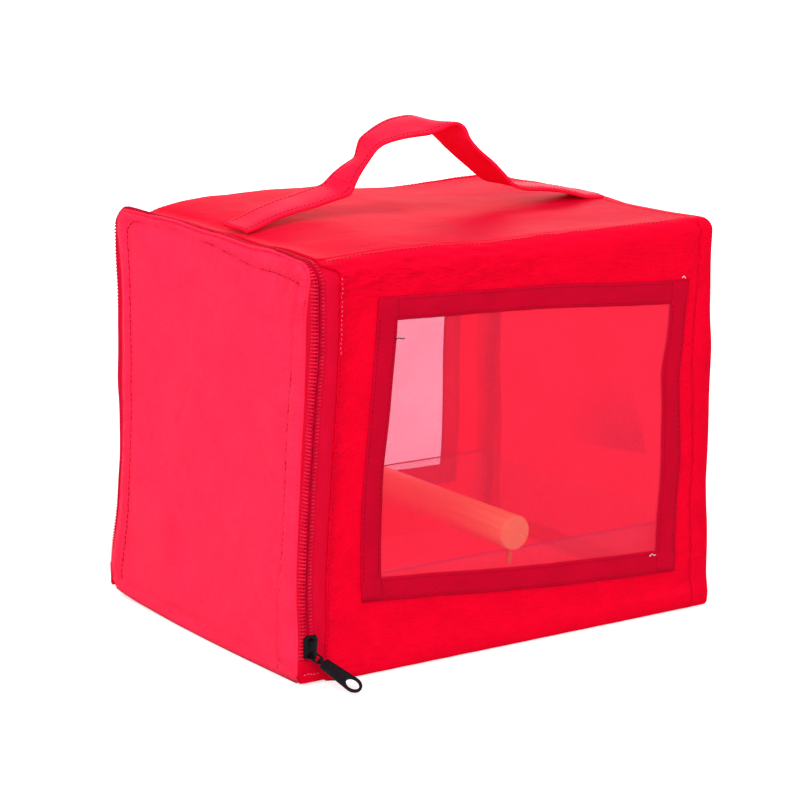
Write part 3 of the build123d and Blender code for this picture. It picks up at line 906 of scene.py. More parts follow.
@dataclass(frozen=True)
class WovenCloth(Finish):
    """Plain-woven polyester, sewn and handled: slubby threads and soft creases, dull, and lit from behind."""

    colour: str
    shade: str
    painted_top_light: str = ""             # painted top light: a paler colour where the cloth faces up, for the stronger light on top
    rough: float = 0.62
    gloss: float = 0.06
    through: float = 0.0        # share of the light that comes through from behind
    glow: float = 0.0           # painted glow: emission that stands in for the light the lining scatters on, shut in by red cloth on all sides
    slub: float = 0.05          # depth of the slubs, in millimetres
    crumple: float = 0.8        # depth of the soft creases, in millimetres
    darker_patch: str = ""        # colour of a darker patch on the closed end's lining

    def shader(self, nodes: Nodes) -> Socket:
        """Add threads, creases, the puckers by the seams and the light from behind, with any painted top
        light and painted glow.
        """
        # Threads lie 0.4 mm apart, too fine to show, so the weft's slubs are drawn 1.1 mm wide and 9 mm long.
        weft = nodes.noise((9.0, 1.1, 1.0), 3.0)
        warp = nodes.noise((1.3, 12.0, 1.0))
        soft = nodes.noise((26.0, 19.0, 1.0), 3.0, 0.5)
        pucker = nodes.noise((9.0, 3.2, 1.0), 2.0, 0.4)
        crease = nodes.add("Attribute", attribute_name=CREASE).outputs["Fac"]
        threads = nodes.plus(nodes.times(weft, 0.75), nodes.times(warp, 0.35))
        tone = nodes.plus(nodes.span(threads, 0.42, 0.68, 0.0, 0.6), nodes.span(soft, 0.35, 0.75, 0.0, 0.5))
        colour = nodes.blended(tone, self.colour, self.shade)
        # Painted top light: the colour turns paler as the normal turns up.
        if self.painted_top_light:
            upwards = nodes.add("SeparateXYZ", {0: nodes.local("Normal")}).outputs["Z"]
            colour = nodes.blended(nodes.span(upwards, 0.25, 0.9), colour, self.painted_top_light)
        if self.darker_patch:
            colour = nodes.blended(self.patch(nodes), colour, self.darker_patch)
        folds = nodes.bump(soft, self.crumple, nodes.bump(threads, self.slub))
        relief = nodes.bump(nodes.times(pucker, crease), 1.5, folds)
        # The emission is a painted glow, standing in for light bounced about inside the red walls.
        shader = nodes.surface(colour, self.rough, self.gloss, relief,
                               {"Emission Color": linear(self.colour), "Emission Strength": self.glow})
        if self.through:
            behind = nodes.add("BsdfTranslucent", {"Color": colour, "Normal": relief})
            shader = nodes.mixed(self.through, shader, behind.outputs[0])
        return shader

    def patch(self, nodes: Nodes) -> Socket:
        """Mask of the darker patch: sharp below and at its front end, fading upwards and to the back."""
        _, y, z = nodes.add("SeparateXYZ", {0: nodes.local()}).outputs
        low = nodes.plus(z, nodes.times(y, 0.08))
        front = nodes.calc("SUBTRACT", y, nodes.times(z, 0.3))
        mask = nodes.times(nodes.span(low, 0.081, 0.084), nodes.span(low, 0.15, 0.09))
        mask = nodes.times(mask, nodes.span(front, -0.079, -0.076))
        return nodes.times(mask, nodes.span(front, 0.02, -0.045))


@dataclass(frozen=True)
class RibbedTape(Finish):
    """Woven narrow tape with ribs across it, dull and a little darker than the cloth."""

    colour: str
    shade: str
    rib: float = 1.5            # between two ribs, in millimetres
    along_v: bool = False

    def shader(self, nodes: Nodes) -> Socket:
        """Add ribs, fuzz and soft folds."""
        # Real ribs lie 0.6 mm apart; they are drawn coarser so that they show.
        one_band = math.pi / 10     # scale at which the wave texture has one band to the millimetre
        ribs = nodes.add("TexWave", {"Vector": nodes.flat(), "Scale": one_band / self.rib, "Distortion": 0.6},
                         bands_direction="Y" if self.along_v else "X").outputs["Fac"]
        fuzz = nodes.noise((3.0, 3.0, 1.0), 3.0)
        soft = nodes.noise((24.0, 12.0, 1.0))
        tone = nodes.plus(nodes.span(ribs, 0, 1, 0, 0.1), nodes.span(soft, 0.35, 0.7, 0.0, 0.6))
        weave = nodes.bump(nodes.plus(nodes.times(ribs, 0.25), fuzz), 0.09)
        colour = nodes.blended(tone, self.colour, self.shade)
        return nodes.surface(colour, 0.8, 0.05, nodes.bump(soft, 0.6, weave))


@dataclass(frozen=True)
class WindowNet(Finish):
    """Fine knitted net: most light passes between the yarns, tinted, and the yarns give a pink haze."""

    passing: str
    yarn: str
    cover: float

    def shader(self, nodes: Nodes) -> Socket:
        """Add the open share, the yarns and their unevenness."""
        # Yarns lie 0.5 mm apart; the grain that shows is the slight unevenness between them.
        grain = nodes.plus(nodes.times(nodes.noise((14.0, 1.2, 1.0)), 0.5),
                           nodes.times(nodes.noise((1.2, 14.0, 1.0)), 0.5))
        veil = nodes.noise((40.0, 30.0, 1.0))
        uneven = nodes.plus(nodes.span(grain, 0.3, 0.7, -0.03, 0.03), nodes.span(veil, 0.3, 0.7, -0.02, 0.02))
        yarns = nodes.surface(self.yarn, 0.7, 0.03)
        return nodes.mixed(nodes.plus(uneven, self.cover), nodes.clear(self.passing), yarns)


@dataclass(frozen=True)
class NylonCoil(Finish):
    """Bent nylon filament, semi-gloss."""

    colour: str
    dark: str

    def shader(self, nodes: Nodes) -> Socket:
        """Add an uneven dye."""
        colour = nodes.blended(nodes.span(nodes.specks(240.0), 0.35, 0.65), self.colour, self.dark)
        return nodes.surface(colour, 0.6, 0.03)


@dataclass(frozen=True)
class Enamel(Finish):
    """Black stoved enamel on die-cast zinc, slightly orange-peeled, rubbed lighter in spots."""

    colour: str
    worn: str
    rough: float

    def shader(self, nodes: Nodes) -> Socket:
        """Add the rubbed spots and the orange peel."""
        rubbed = nodes.specks(260.0, 4.0)
        colour = nodes.blended(nodes.span(rubbed, 0.52, 0.72), self.colour, self.worn)
        rough = nodes.span(rubbed, 0.4, 0.7, self.rough, self.rough + 0.2)
        return nodes.surface(colour, rough, 0.12, nodes.bump(nodes.specks(900.0), 0.03))


@dataclass(frozen=True)
class ClearSheet(Finish):
    """Clear polished acrylic: see-through, with a gloss that grows at a slant and a faint haze."""

    tint: str
    haze: float
    body: str

    def shader(self, nodes: Nodes) -> Socket:
        """Add the clear share, the gloss and a few scuffs."""
        slant = nodes.add("LayerWeight", {"Blend": 0.35}).outputs["Fresnel"]
        factor = nodes.plus(nodes.span(slant, 0, 1, self.haze, self.haze + 0.14),
                            nodes.span(nodes.specks(60.0, 4.0), 0.4, 0.7, 0.0, 0.01))
        return nodes.mixed(factor, nodes.clear(self.tint), nodes.surface(self.body, 0.12, 0.5))


@dataclass(frozen=True)
class BareWood(Finish):
    """Turned bare wood with its grain along Y."""

    colour: str
    dark: str

    def shader(self, nodes: Nodes) -> Socket:
        """Add grain and pores."""
        # Growth rings 2 mm apart, drawn out 60 mm along the dowel.
        stretched = nodes.add("Mapping", {"Vector": nodes.local(), "Scale": (480.0, 16.0, 480.0)})
        grain = nodes.add("TexNoise", {"Vector": stretched.outputs[0], "Scale": 1.0, "Detail": 5.0,
                                       "Distortion": 0.8}).outputs[0]
        tone = nodes.plus(nodes.span(grain, 0.35, 0.65, 0.0, 0.8),
                          nodes.span(nodes.specks(1300.0), 0.55, 0.75, 0.0, 0.4))
        return nodes.surface(nodes.blended(tone, self.colour, self.dark), 0.65, 0.3, nodes.bump(tone, 0.08))


@dataclass(frozen=True)
class Thread(Finish):
    """Spun sewing thread."""

    colour: str

    def shader(self, nodes: Nodes) -> Socket:
        """Add darker strands."""
        light = linear(self.colour)
        dark = (*(0.6 * c for c in light[:3]), 1.0)
        lint = nodes.span(nodes.specks(700.0), 0.35, 0.65)
        return nodes.surface(nodes.blended(lint, light, dark), 0.8, 0.08)


class Palette:
    """All finishes of the carrier, each made once."""

    def __init__(self) -> None:
        """Make every finish."""
        # The shell's fourth colour is painted top light.
        shell = WovenCloth("shell_cloth", "#FF0636", "#F00430", "#FF0C3C", gloss=0.015, through=0.38,
                           slub=0.14, crumple=1.2)
        # The lining's glow is a painted glow for the light bounced about inside.
        lining = WovenCloth("lining_cloth", "#FE2A48", "#FA2240", glow=0.3)
        finishes: list[Finish] = [
            shell,
            # The back wall's copy of the shell is paler and glows: painted light for the inside of the back
            # wall.
            replace(shell, name="back_shell_cloth_painted_light", colour="#FF0A3A", shade="#F00432", painted_top_light="#FF1642",
                    through=0.42, glow=0.14),
            # The door's cloth is paler than the shell: painted light, since the door is lit more strongly.
            WovenCloth("door_cloth", "#FF2C52", "#FA2248", slub=0.06, crumple=1.0),
            lining,
            replace(lining, name="end_lining_cloth", darker_patch="#B40424"),
            # Much darker lining for the corner rolls: painted shade in the inner corners.
            WovenCloth("lining_painted_shade", "#C4001E", "#B4001A"),
            WovenCloth("strap_cloth", "#FF1C42", "#F4123A", gloss=0.03, slub=0.12, crumple=0.7),
            RibbedTape("window_binding", "#C80028", "#B80022", 2.4),
            RibbedTape("zip_tape", "#DE0430", "#CE0228", 1.7, along_v=True),
            RibbedTape("inside_tape", "#D80028", "#CC0024"),
            WindowNet("window_net", "#FFF8FC", "#FA3654", 0.5),
            WindowNet("back_net", "#F2E8FF", "#EA3C78", 0.52),
            NylonCoil("nylon_coil", "#F02446", "#D81436"),
            # Darker nylon for the filler cords: painted shade between the coils.
            NylonCoil("nylon_painted_shade", "#C4002A", "#B00024"),
            Enamel("black_enamel", "#050508", "#101016", 0.32),
            Enamel("satin_enamel", "#0A0A12", "#16161F", 0.5),
            ClearSheet("clear_acrylic", "#FFF4F6", 0.01, "#FF9AA8"),
            # Purple finish of the tray's rims: painted light gathered by the sawn edges.
            ClearSheet("acrylic_edge_painted_light", "#D890C0", 0.8, "#A82068"),
            BareWood("beech_dowel", "#FFC48C", "#F0A868"),
            BareWood("hardwood_pin", "#DDA868", "#B07A3C"),
            BareWood("fibreboard", "#C02038", "#B0182E"),
            Thread("red_thread", "#A0001C"),
            Thread("door_thread", "#DC0C38"),
            Thread("binding_thread", "#A80020"),
            Thread("pale_thread", "#FF8C9C"),
            Thread("white_thread", "#F4E8E8"),
            Thread("black_thread", "#3A1A22"),
        ]
        self.made = {finish.name: finish.build() for finish in finishes}

    def __getitem__(self, name: str) -> Material:
        """Return a finish by its name."""
        return self.made[name]


# ---------------------------------------------------------------- box


@dataclass
class Walls:
    """The five sewn cloth walls with their laps, hems and topstitching."""

    palette: Palette
    box: Box = BOX
    step: float = 2.5
    hem_rise: float = 0.45
    foot_reach: Pair = (-160.2, -139.5)     # where the foot patches lie along their walls
    foot_rise: Pair = (-2.5, 15.0)          # and up them

    def relief(self, wall: Wall, u: Array, v: Array) -> Array:
        """Height of the cloth over its wall: doubled hems, laps and small sewn-in puckers."""
        height = np.zeros_like(u) if wall is Wall.BASE else self.hem_rise * smooth(-133, -136, u)
        if wall in (Wall.FRONT, Wall.BACK):
            height = np.maximum(height, self.hem_rise * smooth(251, 257, v))
            height = height + 0.55 * self.gathers(wall, u, v) * ripple(np.stack([u * 0.5, v], 1), 7.5, 21)
        return height

    def gathers(self, wall: Wall, u: Array, v: Array) -> Array:
        """Amount of puckering, strongest where the cloth is eased in under the top seam by the door."""
        if wall is Wall.END:
            return 0.25 + 0.0 * u
        if wall is Wall.TOP:
            return 0.10 + 0.25 * smooth(85, 101, np.abs(v))
        high = smooth(212, 232, v) * smooth(262, 250, v)
        door_side = 0.3 + 0.7 * smooth(40, -40, u)
        edge = 0.5 * smooth(-122, -134, u) + 0.35 * smooth(132, 143, u)
        return np.clip(high * door_side + edge * smooth(10, 30, v), 0, 1) + 0.12

    def lay(self, wall: Wall, u: Array, v: Array, lift: float = 0.0) -> Array:
        """Lay flat cloth on its wall, drawn up to the zip where it goes over the top.

        Args:
            wall: Which wall.
            u: Flat places along the wall.
            v: Flat places up or across it.
            lift: Height over the cloth.

        Returns:
            Rows of X, Y and Z.
        """
        moved = u
        if wall in (Wall.FRONT, Wall.BACK, Wall.TOP):
            high = 1.0 if wall is Wall.TOP else smooth(247, 259, v)
            moved = u - self.box.top_reach * smooth(-112, self.box.fold_edge, u) * high
        return Surface(wall).lifted(moved, v, self.relief(wall, u, v) + lift)

    def window(self, wall: Wall) -> Window | None:
        """Return the wall's window, if it has one."""
        return {Wall.FRONT: self.box.front_window, Wall.BACK: self.box.back_window}.get(wall)

    def panel(self, wall: Wall) -> None:
        """Make one wall, which stands for its node."""
        box = self.box
        window = self.window(wall)
        half, high = box.half_depth, box.height
        keep = None
        if wall in (Wall.FRONT, Wall.BACK):
            hole = (window.left - window.hem, window.right + window.hem, window.low - window.hem,
                    window.high + window.hem)
            us = stations(box.fold_edge, box.end_seam, self.step, hole[:2])
            vs = stations(-box.base_seam, high + box.top_lap, self.step, (0, *hole[2:], high))

            def keep(u: Array, v: Array) -> Array:
                return ~((u > hole[0]) & (u < hole[1]) & (v > hole[2]) & (v < hole[3]))
        elif wall is Wall.END:
            reach = box.half_width - box.end_seam
            us = stations(-half - reach, half + reach, self.step, (-half, half))
            vs = stations(-reach, high + reach, self.step, (0, high))

            def keep(u: Array, v: Array) -> Array:
                return ~((np.abs(u) > half) & ((v < 0) | (v > high)))
        else:
            side = half - (box.top_lap if wall is Wall.TOP else box.base_seam)
            start = box.fold_edge if wall is Wall.TOP else -box.half_width + box.hinge_gap
            us = stations(start, box.end_seam, self.step)
            vs = stations(-side, side, self.step)
        bm = grid(us, vs, partial(self.lay, wall), keep, partial(self.gathers, wall))
        faced(bm, Surface(wall).outwards)
        # The back wall takes the paler, glowing copy: painted light on its inside.
        finish = self.palette["back_shell_cloth_painted_light" if wall is Wall.BACK else "shell_cloth"]
        piece = lay_down(f"{wall.value}_cloth", bm, finish,
                         replaces=[f"{wall.value}_panel"], thickness=box.cloth)
        width, length = us[-1] - us[0], vs[-1] - vs[0]
        area = width * length
        if window:
            area -= (hole[1] - hole[0]) * (hole[3] - hole[2])
        elif wall is Wall.END:
            area -= 4 * reach * reach

    def topstitch(self) -> None:
        """Sew the laps on the top, along the front and the back."""
        rows = []
        for wall in (Wall.FRONT, Wall.BACK):
            u = np.arange(-139.0, 144.0, 1.5)
            v = np.full_like(u, self.box.height + self.box.top_lap - 2.4) + 0.5 * ripple(u[:, None], 40, 5)
            rows.append(sewn(partial(self.lay, wall), u, v, 0.0, 1.0))
        lay_down("top_seam_stitches", joined(rows), self.palette["red_thread"])

    def hem_stitches(self) -> None:
        """Sew the hem by the zip: pale dots high on the front and the back, a sunk dark row elsewhere."""
        pale, dark = [], []
        for wall in (Wall.FRONT, Wall.TOP, Wall.BACK):
            hem = partial(self.lay, wall)
            for low, high in ((-100.0, 100.0),) if wall is Wall.TOP else ((14.0, 196.0), (196.0, 246.0)):
                v = np.arange(low, high, 1.5)
                u = np.full_like(v, self.box.fold_edge + 0.9)
                if low > 100:
                    pale.append(sewn(hem, u, v, 0.0, 1.0, length=1.2, gap=1.6, girth=0.5))
                else:
                    dark.append(sewn(hem, u, v, 0.0, 1.0, girth=0.36))
        lay_down("hem_stitches", joined(pale), self.palette["pale_thread"])
        lay_down("hem_stitches_red", joined(dark), self.palette["binding_thread"])

    def corner_patches(self) -> None:
        """Close the foot of the door end, where the base cloth wraps up under the end of the zip."""
        def lift(u: Array, v: Array) -> Array:
            return (-0.25 - 0.5 * smooth(-142.5, -141.0, u) + 0.35 * hump(v, 8, 3) * smooth(-143, -147, u)
                    - 0.25 * smooth(-157.0, -160.2, u) - 0.4 * smooth(1.5, -2.5, v))

        for wall in (Wall.FRONT, Wall.BACK):
            surface = Surface(wall)
            bm = surface.sheet(stations(*self.foot_reach, 1.2), stations(*self.foot_rise, 1.2), lift)
            patch = lay_down(f"{wall.value}_foot_patch", bm, self.palette["shell_cloth"],
                             thickness=0.8)
            across = np.arange(-157.4, -145.0, 0.8)
            bm = sewn(lambda u, v, high: surface.lifted(u, v, lift(u, v) + high), across,
                      6.4 + 0.3 * ripple(across[:, None], 9, 61), 0.0, 1.0, length=1.5)
            lay_down(f"{wall.value}_foot_stitches", bm, self.palette["pale_thread"])

    def build(self) -> None:
        """Make all walls and their sewing."""
        for wall in Wall:
            self.panel(wall)
        self.topstitch()
        self.hem_stitches()
        self.corner_patches()


@dataclass
class WindowSet:
    """A net window with its bindings, inner facing and stitching."""

    palette: Palette
    wall: Wall
    window: Window
    box: Box = BOX
    step: float = 3.0
    facing_width: float = 13.0
    seam: float = 1.8           # from a binding's edge to its stitches

    @property
    def name(self) -> str:
        """Which wall the window is in, as the nodes say it."""
        return self.wall.value

    @property
    def surface(self) -> Surface:
        """The wall that the window is in."""
        return Surface(self.wall)

    def net(self) -> None:
        """Stretch the net over the opening."""
        w = self.window
        us = stations(w.left - w.hem, w.right + w.hem, self.step * 2)
        vs = stations(w.low - w.hem, w.high + w.hem, self.step * 2)
        finish = self.palette["back_net" if self.wall is Wall.BACK else "window_net"]
        piece = lay_down(f"{self.name}_net", self.surface.sheet(us, vs, -0.2), finish,
                         replaces=[f"{self.name}_window_mesh"])

    def strip(self, place: str) -> None:
        """Lay one binding tape, which stands for its node.

        Args:
            place: top, bottom, left or right, as seen from outside.
        """
        w, band = self.window, self.window.band
        side_reach = band - 1.0
        spans = {
            "top": (w.left - band, w.right + band, w.high, w.high + band),
            "bottom": (w.left - band, w.right + band, w.low - band, w.low),
            "left": (w.left - band, w.left, w.low - side_reach, w.high + side_reach),
            "right": (w.right, w.right + band, w.low - side_reach, w.high + side_reach),
        }
        seen = place
        if self.wall is Wall.BACK and place in ("left", "right"):
            seen = "right" if place == "left" else "left"
        low_u, high_u, low_v, high_v = spans[seen]
        upright = seen in ("left", "right")

        def height(u: Array, v: Array) -> Array:
            edge = np.minimum(u - low_u, high_u - u) if upright else np.minimum(v - low_v, high_v - v)
            over = smooth(w.low - 1, w.low - 4, v) + smooth(w.high + 1, w.high + 4, v) if upright else 0.0
            swell = np.sin(math.pi * np.clip(edge / (band / 2), 0, 1) / 2)
            return 0.6 + 0.55 * over + 0.25 * swell - 0.12 * hump(edge, self.seam, 0.7)

        us = stations(low_u, high_u, 1.6 if upright else self.step)
        vs = stations(low_v, high_v, self.step if upright else 1.6)
        bm = self.surface.sheet(us, vs, height)
        if upright:
            uv = bm.loops.layers.uv[UV_NAME]
            for face in bm.faces:
                for loop in face.loops:
                    loop[uv].uv = (loop[uv].uv[1], loop[uv].uv[0])
        piece = lay_down(f"{self.name}_tape_{place}", bm, self.palette["window_binding"],
                         replaces=[f"{self.name}_binding_{place}"], thickness=0.55)

    def facing(self) -> None:
        """Lay the flat tape that faces the opening on the inside."""
        w, wide = self.window, self.facing_width
        us = stations(w.left - wide, w.right + wide, self.step * 2, (w.left, w.right))
        vs = stations(w.low - wide, w.high + wide, self.step * 2, (w.low, w.high))
        bm = self.surface.sheet(us, vs, -self.box.cloth - 0.15,
                                lambda u, v: ~((u > w.left) & (u < w.right) & (v > w.low) & (v < w.high)))
        piece = lay_down(f"{self.name}_facing", bm, self.palette["inside_tape"],
                         thickness=0.5)

    def sewing(self) -> None:
        """Sew the bindings along both their edges."""
        w = self.window
        rows = []
        for inset in (self.seam, w.band - self.seam):
            low_u, high_u, low_v, high_v = w.left - inset, w.right + inset, w.low - inset, w.high + inset
            for start, end in (((low_u, low_v), (high_u, low_v)), ((low_u, high_v), (high_u, high_v)),
                               ((low_u, low_v), (low_u, high_v)), ((high_u, low_v), (high_u, high_v))):
                u, v = np.linspace(start, end, int(math.dist(start, end) / 2)).T
                rows.append(sewn(self.surface.lifted, u, v, 0.78, 1.8, length=2.3, gap=1.1, girth=0.34))
        lay_down(f"{self.name}_tape_stitches", joined(rows), self.palette["binding_thread"])

    def loose_threads(self) -> None:
        """Leave three thread ends: a dark one on the net and two white bits on the binding's edge."""
        strands = (
            ("dark", "black_thread", ((-99.2, 196.4), (-96.6, 197.4), (-94.0, 196.6), (-92.2, 197.0))),
            ("white_high", "white_thread", ((125.6, 223.6), (127.0, 224.6), (128.4, 223.2))),
            ("white_low", "white_thread", ((112.8, 47.6), (114.8, 49.0), (116.6, 47.8), (118.0, 48.2))))
        for name, finish, flat in strands:
            fine = np.linspace(0, len(flat) - 1, 14)
            u, v = (np.interp(fine, range(len(flat)), row) for row in zip(*flat))
            line = self.surface.lifted(u, v, 1.5)
            lay_down(f"loose_thread_{name}", tube(line, 0.3, 6), self.palette[finish])

    def build(self) -> None:
        """Make the window."""
        self.net()
        if self.wall is Wall.FRONT:
            self.loose_threads()
        for place in ("top", "bottom", "left", "right"):
            self.strip(place)
        self.sewing()
        self.facing()


@dataclass
class Insides:
    """Boards, linings and inside tapes, slumped with the cloth that they stiffen."""

    palette: Palette
    roll_place: Pair = (150.6, 104.6)       # along X, and to either side
    roll_radius: float = 3.0

    def build(self) -> None:
        """Make every inner layer."""
        for layer, finish, slot in (("board", "fibreboard", "stiffener_board"),
                                    ("lining", "lining_cloth", "lining_cloth")):
            for wall in ("base", "top", "end", "door"):
                own = "end_lining_cloth" if (wall, layer) == ("end", "lining") else finish
                body = "door" if wall == "door" else "root"
                settled_copy(f"{wall}_{layer}", self.palette[own], body)
        self.corner_rolls()
        for side, body in (("base", "root"), ("door", "door")):
            settled_copy(f"hinge_tape_{side}", self.palette["inside_tape"], body)

    def corner_rolls(self) -> None:
        """Roll the raw seam in the two inner corners of the closed end under a bound edge, in much darker
        cloth that is painted shade for the shaded corners.
        """
        height = np.arange(8.0, 244.0, 3.0)
        for side, name in ((-1, "front"), (1, "back")):
            x = self.roll_place[0] + 0.5 * ripple(height[:, None], 40, 71)
            y = side * (self.roll_place[1] + 0.4 * ripple(height[:, None], 50, 72))
            roll = tube(DRAPE.settle(np.stack([x, y, height], 1)), self.roll_radius, 10)
            lay_down(f"corner_roll_{name}", roll, self.palette["lining_painted_shade"])


# ---------------------------------------------------------------- door and zip


@dataclass(frozen=True)
class Arch:
    """Line up the front, over the top and down the back of the door end."""

    box: Box = BOX
    foot: float = 15.6
    edge_radius: float = 1.6

    @property
    def leg(self) -> float:
        """Straight length of one leg."""
        return self.box.door_height - self.box.top_fold - self.foot

    @property
    def bend(self) -> float:
        """Length round one corner."""
        return math.pi / 2 * self.box.top_fold

    @property
    def length(self) -> float:
        """Whole length of the line."""
        return 2 * self.leg + 2 * self.bend + 2 * (self.box.half_depth - self.box.top_fold)

    def spot(self, along: Array, depth: Array, lift: Array) -> Array:
        """Place points on the arch.

        Args:
            along: Lengths from the front foot.
            depth: Depths behind the door's outer face.
            lift: Heights over the carrier's faces.

        Returns:
            Rows of X, Y and Z on the slumped carrier.
        """
        along, depth, lift = np.broadcast_arrays(along, np.asarray(depth, float), np.asarray(lift, float))
        radius, half = self.box.top_fold, self.box.half_depth
        near = self.near(along)
        turn = np.clip((near - self.leg) / self.bend, 0, 1) * math.pi / 2
        past = np.maximum(near - self.leg - self.bend, 0)
        out_y, out_s = -np.cos(turn), np.sin(turn)
        y = -half + radius + radius * out_y + past + out_y * lift
        s = self.foot + np.minimum(near, self.leg) + radius * out_s + out_s * lift
        return DRAPE.settle(self.box.in_door(np.where(along > self.length / 2, -y, y), s, depth))

    def near(self, along: Array) -> Array:
        """Length from the nearer foot."""
        return np.where(along > self.length / 2, self.length - along, along)

    def height(self, along: Array) -> Array:
        """Height up the door of a place on a leg, going on rising round the bend."""
        return self.foot + self.near(along)

    def at(self, along: Array, depth: Array | float, lift: Array | float) -> Array:
        """Place points near the edge; a depth below 0 goes round the edge and on along the door's face.

        Args:
            along: Lengths from the front foot.
            depth: Depths behind the door's outer face.
            lift: Heights over the faces.

        Returns:
            Rows of X, Y and Z on the slumped carrier.
        """
        along, depth, lift = np.broadcast_arrays(along, np.asarray(depth, float), np.asarray(lift, float))
        past = self.edge_radius - depth
        turn = np.clip(past / self.edge_radius, 0, math.pi / 2)
        inwards = self.edge_radius * (1 - np.cos(turn)) + np.maximum(past - self.edge_radius * math.pi / 2, 0)
        behind = np.where(past > 0, self.edge_radius * (1 - np.sin(turn)), depth)
        return self.spot(along, behind - lift * np.sin(turn), lift * np.cos(turn) - inwards)

    def outwards(self, along: Array, depth: Array | float = 5.0) -> Array:
        """Return the outward directions at lengths from the front foot."""
        return unit(self.at(along, depth, 1.0) - self.at(along, depth, 0.0))


@dataclass(frozen=True)
class ZipLine:
    """How the closed zip wanders along the edge, by height up the door, on past the bend."""

    core: tuple[Pair, ...] = ((0, 5.2), (28, 5.0), (40, 4.4), (64, 3.5), (100, 2.5), (137, 2.2), (170, 2.5),
                              (200, 3.7), (218, 3.9), (237, 3.6), (262, 1.6), (278, 1.0), (420, 1.0))
    inset: tuple[Pair, ...] = ((0, 2.0), (12, 2.6), (26, 3.6), (40, 4.6), (62, 6.0), (100, 7.8), (137, 9.0),
                               (170, 8.8), (200, 9.2), (222, 8.6), (238, 5.6), (256, 2.4), (270, 1.9),
                               (420, 1.9))

    def middle(self, height: Array) -> Array:
        """Depth of the zip's middle behind the door's face."""
        return table(height, self.core)

    def rim(self, height: Array) -> Array:
        """Distance from the carrier's edge to the edge of the door's cloth."""
        return table(height, self.inset)


ZIP_LINE = ZipLine()


